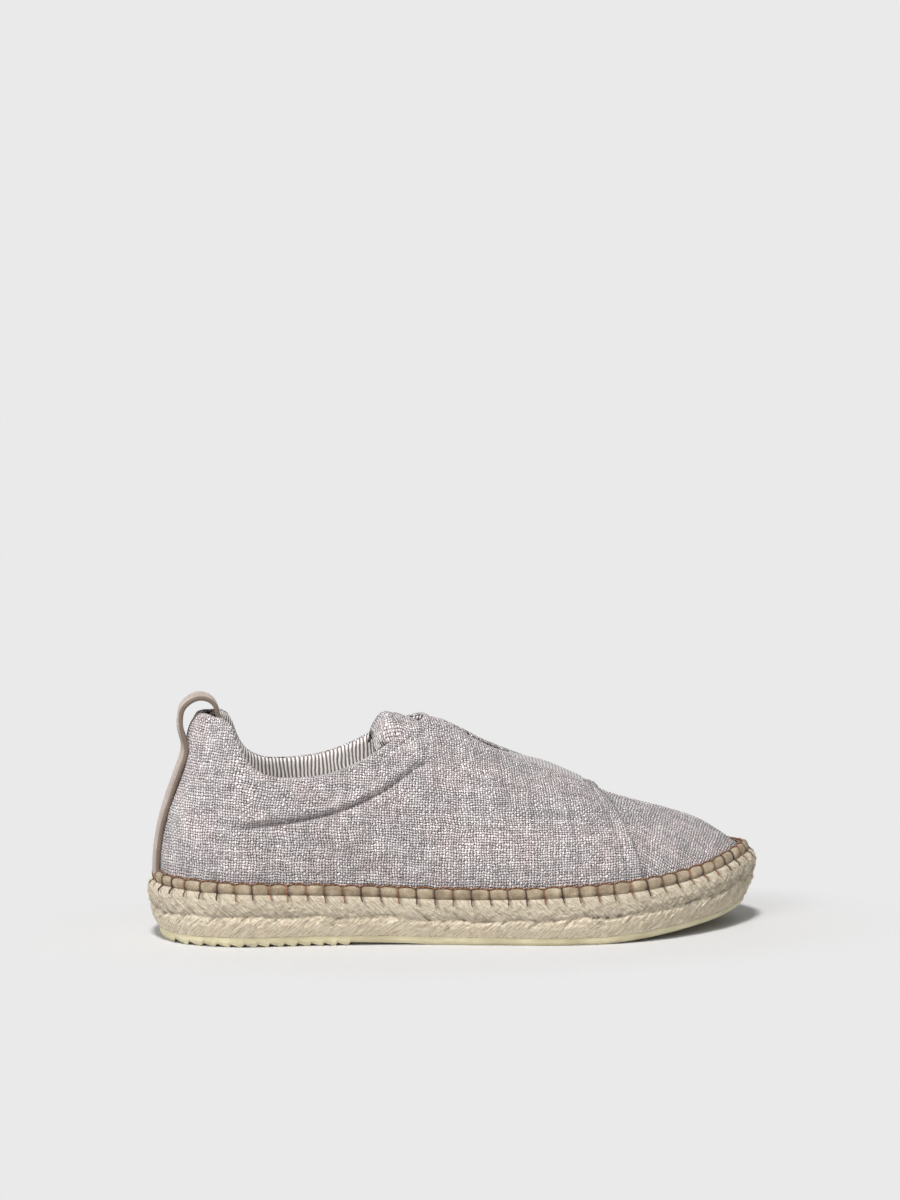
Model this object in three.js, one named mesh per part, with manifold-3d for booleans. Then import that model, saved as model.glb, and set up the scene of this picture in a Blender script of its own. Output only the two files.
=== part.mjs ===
// A slip-on espadrille for the right foot: linen upper, elastic instep, braided jute sole, rubber outsole.
//
// Millimetres, +Z up, toe towards +X, medial side towards +Y. The origin is on the floor, under the middle
// of the shoe's box. Distances called x in the tables below are measured from the back of the heel.
import * as THREE from "three";
import { mergeVertices } from "three/addons/utils/BufferGeometryUtils.js";
import Module from "manifold-3d";

const wasm = await Module();
wasm.setup();

// ---------------------------------------------------------------- driving dimensions

const SOLE_LENGTH = 288; // back of the heel to the toe tip, round the jute
const STATIONS = 40; // sections along each side, heel to toe
const GAP = 0.3; // between pieces that touch

const TAPE_HEIGHT = 4.6;
const TAPE_THICKNESS = 2.6;
const UPPER_INSET = 5; // the upper's foot stands this far inside the jute's edge
const WALL = 2; // linen, interlining and ticking lining together
const COLLAR_PADDING = 3; // foam behind the lining, at the collar
const RIM = 1.2; // rise of the collar's rolled edge
const MEDIAL_LIFT = 1; // the medial collar's edge is this much higher
const INSOLE = 4;
const GORE_THICKNESS = 1.2;
const GORE_TURNING = 5; // width of elastic sewn under the quarters
const STRIP_WIDTH = 15;
const STRIP_THICKNESS = 1.7;
const LOOP_START = 58; // height over the sole at which the strip leaves the heel

// Ridges across the rubber heel: each slopes down to a flat land and ends in a step.
const HEEL_RIDGES = { start: 12, end: 91, pitch: 6.1, depth: 1.5, land: 1.4 };
const ARCH = { start: 91, end: 126, rise: 1.45 };

// ---------------------------------------------------------------- tables

// Widest outline of the jute sole, round the lateral side to the toe and back along the medial side.
const OUTLINE = [
  { x: 0, y: 0 }, // back of the heel
  { x: 9, y: -23.5 },
  { x: 36, y: -37.5 },
  { x: 75, y: -38.5 },
  { x: 115, y: -40.5 },
  { x: 155, y: -46 },
  { x: 190, y: -50.5 },
  { x: 220, y: -48 },
  { x: 248, y: -37 },
  { x: 273, y: -18 },
  { x: 288, y: 8 }, // toe tip
  { x: 280, y: 31 },
  { x: 256, y: 47 },
  { x: 214, y: 53 },
  { x: 172, y: 47.5 },
  { x: 135, y: 39.5 },
  { x: 100, y: 36 },
  { x: 68, y: 37 },
  { x: 36, y: 37.5 },
  { x: 9, y: 23.5 },
];
const TOE_ROW = 10;

// Heights along the sole: underside of the rubber, its top, and the top of the jute.
const SOLE = [
  { x: 0, floor: 0, rubber: 4.7, jute: 27 },
  { x: 22, floor: 0, rubber: 4.7, jute: 25.9 },
  { x: 50, floor: 0, rubber: 4.7, jute: 24.9 },
  { x: 100, floor: 0, rubber: 4.6, jute: 23.2 },
  { x: 135, floor: 0, rubber: 4, jute: 21.7 },
  { x: 165, floor: 0, rubber: 3.6, jute: 21.9 },
  { x: 195, floor: 0, rubber: 3.6, jute: 23 },
  { x: 207, floor: 0.1, rubber: 3.7, jute: 23.5 },
  { x: 220, floor: 0.9, rubber: 4.4, jute: 24.1 },
  { x: 240, floor: 2.8, rubber: 6.1, jute: 25.9 },
  { x: 256, floor: 4.6, rubber: 7.7, jute: 28.1 },
  { x: 270, floor: 6.3, rubber: 9.3, jute: 31.1 },
  { x: 280, floor: 7.9, rubber: 10.9, jute: 33 },
  { x: 288, floor: 9.6, rubber: 12.6, jute: 34 },
];

// Side walls, as shares of each layer's height and distances inside OUTLINE.
const RUBBER_WALL = [
  { share: 0, inset: 7.2 },
  { share: 0.35, inset: 5.9 },
  { share: 1, inset: 5.1 },
];
const JUTE_WALL = [
  { share: 0, inset: 5 },
  { share: 0.1, inset: 3.9 },
  { share: 0.25, inset: 2.4 },
  { share: 0.39, inset: 1.4 },
  { share: 0.47, inset: 2 }, // groove between the two rows of braid
  { share: 0.56, inset: 0.8 },
  { share: 0.72, inset: 0 },
  { share: 0.88, inset: 0.4 },
  { share: 1, inset: 1.8 },
  { share: 0.965, inset: 4.6 }, // pressed down under the upper
];

// Section of the tape that binds the upper's edge to the jute.
const TAPE_SECTION = [
  { height: 0, out: 0.7 },
  { height: 0.45, out: 1 },
  { height: 0.85, out: 0.85 },
  { height: 1, out: 0.4 },
];

// The form of the upper, a row for each section from the heel's back (foot 0) to the toe tip (foot 1), where
// foot is the share of each side's outline. A section leaves the sole leaning in by lean (degrees) for rise,
// and arrives at its top from reach away, out of the direction swing (degrees from sideways, + to the toe)
// and pitch (degrees below level). The top is at x, z, half either side of ridge: the collar's edge as far as
// THROAT_ROW, and the instep's ridge after that.
const FORM = [
  { foot: 0.0, x: 26, ridge: 0, half: 0, z: 101.8, lean: -3, rise: 28, swing: -90, pitch: 68, reach: 30 },
  { foot: 0.07, x: 28.5, ridge: 0, half: 10, z: 102, lean: -2, rise: 27, swing: -64, pitch: 69, reach: 29 },
  { foot: 0.12, x: 34, ridge: 0, half: 16.5, z: 101.2, lean: -1, rise: 26, swing: -40, pitch: 73, reach: 27 },
  { foot: 0.15, x: 38, ridge: 0, half: 20.5, z: 97.5, lean: -1, rise: 24, swing: -27, pitch: 76, reach: 25 },
  { foot: 0.175, x: 41.5, ridge: 0, half: 24, z: 90, lean: -2, rise: 22, swing: -18, pitch: 78, reach: 22 },
  { foot: 0.2, x: 46, ridge: 0, half: 26.5, z: 82, lean: -2, rise: 20, swing: -10, pitch: 79, reach: 19 },
  { foot: 0.23, x: 52.5, ridge: 0, half: 28.5, z: 77.5, lean: -3, rise: 18, swing: -4, pitch: 80, reach: 17 },
  { foot: 0.28, x: 65, ridge: 0, half: 30, z: 75.8, lean: -3, rise: 17, swing: 0, pitch: 80, reach: 16 },
  { foot: 0.33, x: 81, ridge: 0, half: 30.5, z: 77.3, lean: -3, rise: 18, swing: 0, pitch: 79, reach: 17 },
  { foot: 0.38, x: 95, ridge: 0.5, half: 29, z: 82, lean: -3, rise: 19, swing: 0, pitch: 74, reach: 20 },
  { foot: 0.43, x: 109, ridge: 1, half: 25.5, z: 89.5, lean: -2, rise: 20, swing: 0, pitch: 65, reach: 24 },
  { foot: 0.48, x: 122, ridge: 1.5, half: 18.5, z: 96.3, lean: -1, rise: 20, swing: 0, pitch: 48, reach: 27 },
  { foot: 0.525, x: 131, ridge: 2, half: 10, z: 99.8, lean: 0, rise: 20, swing: 0, pitch: 25, reach: 28 },
  { foot: 0.55, x: 134, ridge: 2, half: 0, z: 101.3, lean: 0, rise: 20, swing: 0, pitch: 0, reach: 29 },
  { foot: 0.62, x: 159, ridge: 3.5, half: 0, z: 88.6, lean: 0, rise: 20, swing: 0, pitch: 0, reach: 29 },
  { foot: 0.7, x: 190, ridge: 6, half: 0, z: 75, lean: 2, rise: 18, swing: 0, pitch: 0, reach: 30 },
  { foot: 0.78, x: 218, ridge: 8, half: 0, z: 62.6, lean: 6, rise: 15, swing: 0, pitch: 0, reach: 29 },
  { foot: 0.86, x: 242, ridge: 9.5, half: 0, z: 55, lean: 14, rise: 10, swing: 4, pitch: 0, reach: 25 },
  { foot: 0.93, x: 257, ridge: 10, half: 0, z: 50.3, lean: 28, rise: 6.5, swing: 24, pitch: 8, reach: 16 },
  { foot: 1.0, x: 265, ridge: 9.5, half: 0, z: 46.8, lean: 42, rise: 4.5, swing: 90, pitch: 32, reach: 7 },
];
const THROAT_ROW = 13;
const UP_THE_FORM = [0, 0.05, 0.12, 0.22, 0.34, 0.47, 0.6, 0.71, 0.8, 0.88, 0.95, 1];

// The slot between the quarters that the elastic fills.
const THROAT = [
  { x: 118, half: 13 },
  { x: 140, half: 12.5 },
  { x: 165, half: 12 },
  { x: 185, half: 10.5 },
  { x: 200, half: 8 },
  { x: 208, half: 5 },
  { x: 211, half: 0 },
];

// The tongue's upper face, and how far it falls from its middle to its edges.
const TONGUE = [
  { x: 105, z: 97, half: 16, fall: 9, thickness: 4 },
  { x: 108, z: 101.4, half: 17, fall: 9.5, thickness: 5 },
  { x: 113.5, z: 102.8, half: 16.5, fall: 9.5, thickness: 5 },
  { x: 121, z: 100.4, half: 16, fall: 9.5, thickness: 4 },
  { x: 140, z: 92.4, half: 19, fall: 10, thickness: 3 },
  { x: 160, z: 83.2, half: 19, fall: 9, thickness: 3 },
  { x: 182, z: 73.4, half: 17, fall: 7, thickness: 3 },
  { x: 194, z: 68.4, half: 13, fall: 4.5, thickness: 2.6 },
];

// Middle of the heel loop's band, from where it leaves the heel to where it is sewn inside the collar.
const LOOP = [
  { x: 18.3, z: 86.5 },
  { x: 16.9, z: 91 },
  { x: 15.7, z: 96 },
  { x: 15.4, z: 101 },
  { x: 16.6, z: 106.3 },
  { x: 19.6, z: 109.8 },
  { x: 24, z: 111.7 },
  { x: 28.3, z: 111.1 },
  { x: 31.2, z: 108.8 },
  { x: 32.6, z: 105.2 },
  { x: 33.2, z: 101 },
  { x: 33, z: 96.8 },
  { x: 32.2, z: 93 },
];

// ---------------------------------------------------------------- working with the tables

const radians = THREE.MathUtils.degToRad;
const vector = (x, y, z) => new THREE.Vector3(x, y, z);

// A smooth value of one column between a table's rows: cubic Hermite spans with three-point slopes.
function column(rows, key, name, at) {
  const last = rows.length - 1;
  let i = 0;
  while (i < last - 1 && at > rows[i + 1][key]) i++;
  const slope = (k) => {
    const a = rows[Math.max(0, k - 1)];
    const b = rows[k];
    const c = rows[Math.min(last, k + 1)];
    const before = b[key] - a[key];
    const after = c[key] - b[key];
    if (!before) return (c[name] - b[name]) / after;
    if (!after) return (b[name] - a[name]) / before;
    return (((b[name] - a[name]) / before) * after + ((c[name] - b[name]) / after) * before) / (before + after);
  };
  const span = rows[i + 1][key] - rows[i][key];
  const u = THREE.MathUtils.clamp((at - rows[i][key]) / span, 0, 1);
  const ease = u * u * (3 - 2 * u);
  return (
    rows[i][name] * (1 - ease) +
    rows[i + 1][name] * ease +
    slope(i) * span * u * (1 - u) ** 2 -
    slope(i + 1) * span * u * u * (1 - u)
  );
}

const sole = (layer, x) => Math.max(column(SOLE, "x", layer, x), 0);

// ---------------------------------------------------------------- sole outline

const outlineCurve = new THREE.CatmullRomCurve3(
  OUTLINE.map((p) => vector((p.x / 288) * SOLE_LENGTH, p.y, 0)),
  true,
  "centripetal",
);
outlineCurve.arcLengthDivisions = 800;
const toeShare = (() => {
  const lengths = outlineCurve.getLengths();
  return lengths[(800 * TOE_ROW) / OUTLINE.length] / lengths[800];
})();

// A place round the outline: turn runs from the heel's back (0) along the lateral side to the toe tip (1)
// and back along the medial side (2).
const footOf = (turn) => (turn <= 1 ? turn : 2 - turn);
const sideOf = (turn) => (turn <= 1 ? -1 : 1);

function outline(turn, inset) {
  const share = turn <= 1 ? turn * toeShare : toeShare + (turn - 1) * (1 - toeShare);
  const wrapped = (share + 1) % 1;
  const point = outlineCurve.getPointAt(wrapped);
  const tangent = outlineCurve.getTangentAt(wrapped);
  const normal = vector(tangent.y, -tangent.x, 0);
  return { point: point.addScaledVector(normal, -inset), normal };
}

const TURNS = Array.from({ length: 2 * STATIONS }, (_, i) => i / STATIONS);

// ---------------------------------------------------------------- the upper's form

// The form's rows, with one mirrored row past the heel and one past the toe so that both halves meet smoothly.
const mirror = (row, foot, turned) => ({ ...row, foot, half: -row.half, swing: turned - row.swing });
const FORM_ROWS = [
  mirror(FORM[1], -FORM[1].foot, -180),
  ...FORM,
  mirror(FORM.at(-2), 2 - FORM.at(-2).foot, 180),
];

// The point at share v of the way up the section at a turn.
function section(turn, v) {
  const around = (turn + 2) % 2;
  const foot = footOf(around);
  const side = sideOf(around);
  const value = (name) => column(FORM_ROWS, "foot", name, foot);
  const { point, normal } = outline(around, UPPER_INSET);
  point.z = sole("jute", point.x) + GAP;
  const lean = radians(value("lean"));
  const rise = value("rise");
  const first = point.clone().addScaledVector(normal, -Math.sin(lean) * rise);
  first.z += Math.cos(lean) * rise;
  const half = foot < FORM[THROAT_ROW].foot ? Math.max(value("half"), 0) : 0;
  const lift = side > 0 ? MEDIAL_LIFT * Math.min(1, half / 20) : 0;
  const top = vector(value("x"), value("ridge") + side * half, value("z") + lift);
  const swing = radians(value("swing"));
  const pitch = radians(Math.max(value("pitch"), 0));
  const away = vector(Math.sin(swing) * Math.cos(pitch), side * Math.cos(swing) * Math.cos(pitch), -Math.sin(pitch));
  const second = top.clone().addScaledVector(away, value("reach"));
  return new THREE.CubicBezierCurve3(point, first, second, top).getPoint(v);
}

function sectionNormal(turn, v) {
  const step = 0.003;
  const along = section(turn + step, v).sub(section(turn - step, v));
  const up = section(turn, Math.min(v + step, 1)).sub(section(turn, Math.max(v - step, 0)));
  return along.cross(up).normalize();
}

// The form moved out by offset along its normal. Both sides share one normal along the ridge.
function form(turn, v, offset = 0) {
  const onRidge = v === 1 && footOf(turn) >= FORM[THROAT_ROW].foot;
  if (!onRidge) return section(turn, v).addScaledVector(sectionNormal(turn, v), offset);
  const lateral = footOf(turn);
  const nearly = 0.985;
  const normal = sectionNormal(lateral, nearly).add(sectionNormal(2 - lateral, nearly)).normalize();
  return section(lateral, 1).addScaledVector(normal, offset);
}

// The share v at which test starts to hold on the way up a section.
function shareWhere(test) {
  let low = 0;
  let high = 1;
  for (let i = 0; i < 20; i++) {
    const middle = (low + high) / 2;
    if (test(middle)) high = middle;
    else low = middle;
  }
  return high;
}

// The share v at a distance from the section's foot.
function shareFrom(turn, distance) {
  const foot = section(turn, 0);
  return shareWhere((v) => section(turn, v).distanceTo(foot) > distance);
}

// ---------------------------------------------------------------- building closed bodies

function geometryOf(points, index) {
  const geometry = new THREE.BufferGeometry();
  geometry.setAttribute("position", new THREE.Float32BufferAttribute(points.flatMap((p) => p.toArray()), 3));
  geometry.setIndex(index);
  return geometry;
}

// A body from loops that run round by TURNS. Stacked loops are closed by ladders across the shoe; with ring
// set, the last loop joins the first. skip leaves out the faces at a place round and a loop.
function loft(loops, { ring = false, skip = () => false } = {}) {
  const around = TURNS.length;
  const index = [];
  const at = (i, j) => (j % loops.length) * around + (i % around);
  const quad = (a, b, c, d) => index.push(a, b, c, a, c, d);
  for (let j = 0; j < loops.length - (ring ? 0 : 1); j++) {
    for (let i = 0; i < around; i++) {
      if (!skip(i, j)) quad(at(i, j), at(i + 1, j), at(i + 1, j + 1), at(i, j + 1));
    }
  }
  if (!ring) {
    const top = loops.length - 1;
    for (let i = 0; i < STATIONS; i++) {
      quad(at(i, top), at(i + 1, top), at(2 * STATIONS - i - 1, top), at(2 * STATIONS - i, top));
      quad(at(2 * STATIONS - i, 0), at(2 * STATIONS - i - 1, 0), at(i + 1, 0), at(i, 0));
    }
  }
  return geometryOf(loops.flat(), index);
}

// A body between two faces given as equal grids of points, outer on the outside.
function sheet(outer, inner) {
  const rows = outer.length;
  const columns = outer[0].length;
  const index = [];
  const quad = (a, b, c, d) => index.push(a, b, c, a, c, d);
  const out = (r, c) => r * columns + c;
  const back = (r, c) => (rows + r) * columns + c;
  for (let r = 0; r < rows - 1; r++) {
    for (let c = 0; c < columns - 1; c++) {
      quad(out(r, c), out(r + 1, c), out(r + 1, c + 1), out(r, c + 1));
      quad(back(r, c + 1), back(r + 1, c + 1), back(r + 1, c), back(r, c));
    }
    quad(back(r, 0), back(r + 1, 0), out(r + 1, 0), out(r, 0));
    quad(out(r, columns - 1), out(r + 1, columns - 1), back(r + 1, columns - 1), back(r, columns - 1));
  }
  for (let c = 0; c < columns - 1; c++) {
    quad(out(0, c), out(0, c + 1), back(0, c + 1), back(0, c));
    quad(back(rows - 1, c), back(rows - 1, c + 1), out(rows - 1, c + 1), out(rows - 1, c));
  }
  return geometryOf([...outer.flat(), ...inner.flat()], index);
}

// A straight bar: a flat outline of [across, up] pairs, run along from start by length.
function bar(pairs, length) {
  const shape = new THREE.Shape(pairs.map(([a, b]) => new THREE.Vector2(a, b)));
  return new THREE.ExtrudeGeometry(shape, { depth: length, bevelEnabled: false });
}

function toManifold(geometry) {
  const plain = new THREE.BufferGeometry();
  plain.setAttribute("position", geometry.getAttribute("position"));
  plain.setIndex(geometry.getIndex());
  const merged = mergeVertices(plain, 1e-4);
  return new wasm.Manifold(
    new wasm.Mesh({
      numProp: 3,
      vertProperties: new Float32Array(merged.getAttribute("position").array),
      triVerts: new Uint32Array(merged.getIndex().array),
    }),
  );
}

function fromManifold(solid) {
  const { vertProperties, triVerts } = solid.getMesh();
  const geometry = new THREE.BufferGeometry();
  geometry.setAttribute("position", new THREE.Float32BufferAttribute(vertProperties, 3));
  geometry.setIndex([...triVerts]);
  return geometry;
}

const cut = (geometry, tools) =>
  fromManifold(tools.reduce((solid, tool) => solid.subtract(toManifold(tool)), toManifold(geometry)));

// ---------------------------------------------------------------- the pieces

const soleLoop = (bottom, top, wall, lift = 0) =>
  wall.map(({ share, inset }) =>
    TURNS.map((turn) => {
      const { point } = outline(turn, inset);
      const low = sole(bottom, point.x) + lift;
      point.z = low + share * (sole(top, point.x) - low);
      return point;
    }),
  );

// Moulded rubber outsole: ridged heel, hollow under the arch, lifted toe.
function outsole() {
  const across = (pairs) => {
    const tool = bar(pairs, 120);
    tool.rotateX(Math.PI / 2);
    tool.translate(0, 60, 0);
    return tool;
  };
  const { start, end, pitch, depth, land } = HEEL_RIDGES;
  const grooves = [];
  for (let x = start; x + pitch <= end + 1; x += pitch) {
    grooves.push(across([[x, -1], [x + pitch - land, -1], [x + pitch - land, 0], [x, depth]]));
  }
  const arch = across([
    [ARCH.start, -1],
    [ARCH.end, -1],
    [ARCH.end, 0],
    [(ARCH.start + ARCH.end) / 2, ARCH.rise * 0.8],
    [ARCH.start, ARCH.rise],
  ]);
  return cut(loft(soleLoop("floor", "rubber", RUBBER_WALL)), [...grooves, arch]);
}

// Braided jute, two rows high, pressed and glued as one block.
const juteSole = () => loft(soleLoop("rubber", "jute", JUTE_WALL, GAP));

// Insole board and canvas inside the upper.
function insole() {
  const inside = -WALL - GAP;
  const level = (point, height) => sole("jute", point.x) + GAP + height;
  const edge = (height) =>
    TURNS.map((turn) => {
      const reached = (v) => form(turn, v, inside).z > level(form(turn, v, inside), height);
      const point = form(turn, shareWhere(reached), inside);
      point.z = level(point, height);
      return point;
    });
  return loft([edge(0), edge(INSOLE * 0.7), edge(INSOLE)]);
}

// Knitted tape round the foot of the upper, sewn to the jute.
function weltTape() {
  const outer = TAPE_SECTION.map(({ height, out }) =>
    TURNS.map((turn) => form(turn, shareFrom(turn, height * TAPE_HEIGHT), GAP + out * TAPE_THICKNESS)),
  );
  const inner = [1, 0.6, 0.3, 0].map((height) =>
    TURNS.map((turn) => form(turn, shareFrom(turn, height * TAPE_HEIGHT), GAP)),
  );
  const loops = [...outer, ...inner];
  for (const point of [...loops[0], ...loops.at(-1)]) point.z = sole("jute", point.x) + GAP;
  return loft(loops, { ring: true });
}

const padding = (turn, v) => {
  const foot = footOf(turn);
  const rise = THREE.MathUtils.smoothstep(v, 0.6, 0.84);
  const fade = 1 - THREE.MathUtils.smoothstep(foot, 0.42, 0.54);
  return COLLAR_PADDING * rise * fade;
};

const throatMiddle = (x) => column(FORM.slice(THROAT_ROW), "x", "ridge", x);

// The linen upper with its lining: one shell, open at the collar, the throat and underneath.
function upper() {
  const outer = UP_THE_FORM.map((v) => TURNS.map((turn) => form(turn, v)));
  const inner = UP_THE_FORM.map((v) => TURNS.map((turn) => form(turn, v, -WALL - padding(turn, v))));
  for (const point of inner[0]) point.z = sole("jute", point.x) + GAP;
  const rim = TURNS.map((turn, i) => {
    const point = outer.at(-1)[i].clone().lerp(inner.at(-1)[i], 0.5);
    point.z += RIM;
    return point;
  });
  const loops = [...outer, rim, ...inner.reverse()];
  const topLoop = outer.length - 1;
  const throat = FORM[THROAT_ROW].foot * STATIONS;
  const inRidge = (i) => i >= throat && i < 2 * STATIONS - throat;
  const shell = loft(loops, { ring: true, skip: (i, j) => (j === topLoop || j === topLoop + 1) && inRidge(i) });
  const side = (sign) => THROAT.map(({ x, half }) => [x, throatMiddle(x) + sign * half]);
  const slot = bar([...side(-1), ...side(1).reverse().slice(1)], 90);
  slot.translate(0, 0, 50);
  return cut(shell, [slot]);
}

// Ribbed elastic across the throat, sewn under the quarters' edges.
function gore() {
  const feet = [0.57, 0.59, 0.61, 0.63, 0.65, 0.67, 0.69, 0.71, 0.73, 0.75, 0.765, 0.775];
  const shares = [0, 0.25, 0.5, 0.75, 1];
  const face = (offset) =>
    feet.map((foot) => {
      const half = (x) => column(THROAT, "x", "half", Math.min(x, 211)) + GORE_TURNING;
      const line = (turn) => {
        const start = shareWhere((v) => {
          const p = section(turn, v);
          return Math.abs(p.y - throatMiddle(p.x)) < half(p.x);
        });
        return shares.map((share) => form(turn, share === 1 ? 1 : start + (1 - start) * share, offset));
      };
      return [...line(foot), ...line(2 - foot).reverse().slice(1)];
    });
  const outside = -WALL - 2 * GAP;
  return sheet(face(outside), face(outside - GORE_THICKNESS));
}

// Padded tongue under the elastic, its end standing up in the collar's mouth.
function tongue() {
  const shares = [-1, -0.8, -0.55, -0.28, 0, 0.28, 0.55, 0.8, 1];
  const rows = [];
  for (let i = 0; i <= 14; i++) {
    const first = TONGUE[0].x;
    const last = TONGUE.at(-1).x;
    rows.push(first + (last - first) * (i / 14) ** 1.25);
  }
  const face = (under) =>
    rows.map((x) => {
      const value = (name) => column(TONGUE, "x", name, x);
      return shares.map((share) => {
        const edge = 1 - 0.55 * share ** 6;
        const fall = value("fall") * Math.abs(share) ** 2.2;
        const down = under ? value("thickness") * edge : 0;
        return vector(x, throatMiddle(Math.max(x, 133)) + share * value("half"), value("z") - fall - down);
      });
    });
  return sheet(face(false), face(true));
}

// Linen strip up the back of the heel, carried on as a pull loop and sewn inside the collar.
function heelPullStrap() {
  const across = [-1, -0.5, 0, 0.5, 1];
  const half = STRIP_WIDTH / 2;
  const turnWhere = (share, v) => {
    const foot = shareWhere((f) => Math.abs(section(f * 0.1, v).y) > Math.abs(share) * half) * 0.1;
    return share < 0 ? foot : 2 - foot;
  };
  const low = shareFrom(0, TAPE_HEIGHT + 2 * GAP);
  const high = shareFrom(0, LOOP_START);
  const climbing = [0, 0.16, 0.33, 0.5, 0.67, 0.84, 1].map((share) => low + (high - low) * share);
  const strip = (offset) =>
    climbing.map((v) => across.map((share) => form(share ? turnWhere(share, v) : 0, v, offset)));
  const path = new THREE.CatmullRomCurve3(LOOP.map(({ x, z }) => vector(x, 0, z)), false, "centripetal");
  const steps = 22;
  const loop = (offset) =>
    Array.from({ length: steps + 1 }, (_, i) => {
      const centre = path.getPointAt(i / steps);
      const tangent = path.getTangentAt(i / steps);
      const normal = vector(-tangent.z, 0, tangent.x);
      const curl = 1.6 * (Math.max(0, 1 - (3 * i) / steps) + Math.max(0, (4 * i) / steps - 3));
      return across.map((share) => {
        const point = centre.clone().addScaledVector(normal, offset - STRIP_THICKNESS / 2);
        point.y = share * half;
        point.x += curl * share ** 2;
        return point;
      });
    });
  const under = 2 * GAP;
  const outer = [...strip(under + STRIP_THICKNESS), ...loop(STRIP_THICKNESS)];
  const inner = [...strip(under), ...loop(0)];
  return sheet(outer, inner);
}

// ---------------------------------------------------------------- the assembly

const PIECES = [
  { name: "outsole", colour: 0xb9a27c, rough: 0.75, make: outsole },
  { name: "jute_sole", colour: 0xc9ab7d, rough: 0.95, make: juteSole },
  { name: "insole", colour: 0xd9cdbd, rough: 0.9, make: insole },
  { name: "upper", colour: 0xb5a8a8, rough: 0.9, make: upper },
  { name: "welt_tape", colour: 0x8a7560, rough: 0.9, make: weltTape },
  { name: "gore", colour: 0xc6bdbd, rough: 0.85, make: gore },
  { name: "tongue", colour: 0xc9c2c1, rough: 0.9, make: tongue },
  { name: "heel_pull_strap", colour: 0xb0a18f, rough: 0.9, make: heelPullStrap },
];

const shoe = new THREE.Group();
shoe.name = "espadrille";
for (const { name, colour, rough, make } of PIECES) {
  const material = new THREE.MeshStandardMaterial({ color: colour, roughness: rough, metalness: 0 });
  const mesh = new THREE.Mesh(make(), material);
  mesh.name = name;
  shoe.add(mesh);
}

const box = new THREE.Box3().setFromObject(shoe);
const middle = box.getCenter(vector(0, 0, 0));
for (const mesh of shoe.children) {
  mesh.geometry.translate(-middle.x, -middle.y, -box.min.z);
  mesh.geometry.computeVertexNormals();
}

export default shoe;
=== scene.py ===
# A slip-on espadrille for the right foot: linen upper, elastic instep, braided jute sole and rubber outsole.
# Tables and sizes are in millimetres. x runs from the back of the heel to the toe, y to the medial side.
import math

import bmesh
import bpy
import numpy as np
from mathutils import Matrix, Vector


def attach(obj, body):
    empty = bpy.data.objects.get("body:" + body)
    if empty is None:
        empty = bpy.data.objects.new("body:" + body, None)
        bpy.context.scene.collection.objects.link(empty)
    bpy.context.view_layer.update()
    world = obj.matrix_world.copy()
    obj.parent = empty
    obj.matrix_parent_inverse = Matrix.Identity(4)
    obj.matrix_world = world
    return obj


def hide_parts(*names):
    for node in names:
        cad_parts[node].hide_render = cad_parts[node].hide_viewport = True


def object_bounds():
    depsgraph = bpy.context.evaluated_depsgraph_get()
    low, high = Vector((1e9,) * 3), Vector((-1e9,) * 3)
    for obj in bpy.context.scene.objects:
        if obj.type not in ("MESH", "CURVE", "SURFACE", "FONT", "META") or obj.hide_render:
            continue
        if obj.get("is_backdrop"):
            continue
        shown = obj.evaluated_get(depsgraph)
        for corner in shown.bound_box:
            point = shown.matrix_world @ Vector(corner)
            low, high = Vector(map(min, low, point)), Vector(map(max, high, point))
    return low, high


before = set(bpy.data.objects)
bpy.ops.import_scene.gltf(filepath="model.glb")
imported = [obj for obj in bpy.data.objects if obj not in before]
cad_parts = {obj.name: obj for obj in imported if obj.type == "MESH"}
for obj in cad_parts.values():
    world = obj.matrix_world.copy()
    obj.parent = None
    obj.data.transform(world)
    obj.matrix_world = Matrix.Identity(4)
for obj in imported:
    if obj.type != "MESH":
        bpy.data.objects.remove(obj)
cad_low, cad_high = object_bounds()

# ------------------------------------------------------------------------------------------- studio
# A pale table seen from low on the shoe's lateral side, a little towards the heel. A small soft lamp stands
# above and in front, and a wide, weaker one lower down in front, on the heel's side.
view_height = math.radians(10)
view_turn = math.radians(6.5)
view_distance = 1.6
lens_length, sensor_width, far_clip = 102.444, 36, 50
aim = Vector((-0.0028, 0.0, 0.1548))
looking = Vector((math.sin(view_turn) * math.cos(view_height), math.cos(view_turn) * math.cos(view_height),
                  -math.sin(view_height)))
shoe_middle = Vector((0.0, 0.0, 0.05))
camera = bpy.data.objects.new("camera", bpy.data.cameras.new("camera"))
camera.location = shoe_middle - looking * view_distance
camera.rotation_euler = (aim - camera.location).to_track_quat("-Z", "Y").to_euler()
camera.data.sensor_fit = "AUTO"
camera.data.sensor_width = sensor_width
camera.data.lens = lens_length
camera.data.clip_end = far_clip
bpy.context.scene.collection.objects.link(camera)
bpy.context.scene.camera = camera
bpy.context.scene.view_settings.view_transform = "Standard"

lamps = (
    ("top light", (-0.6, -2.2, 4.4), 250, 0.8, (1, 0.99, 0.98)),
    ("front light", (-3.4, -4.4, 2.1), 165, 2.4, (1, 0.99, 0.99)),
)
for name, spot, power, size, colour in lamps:
    light = bpy.data.lights.new(name, "AREA")
    light.shape = "DISK"
    light.energy = power
    light.size = size
    light.color = colour
    lamp = bpy.data.objects.new(name, light)
    lamp.location = spot
    lamp.rotation_euler = (shoe_middle - Vector(spot)).to_track_quat("-Z", "Y").to_euler()
    bpy.context.scene.collection.objects.link(lamp)

room_colour, room_strength = (0.93, 0.94, 0.96, 1), 0.34
world = bpy.data.worlds.new("studio")
world.use_nodes = True
world.node_tree.nodes["Background"].inputs["Color"].default_value = room_colour
world.node_tree.nodes["Background"].inputs["Strength"].default_value = room_strength
bpy.context.scene.world = world


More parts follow.
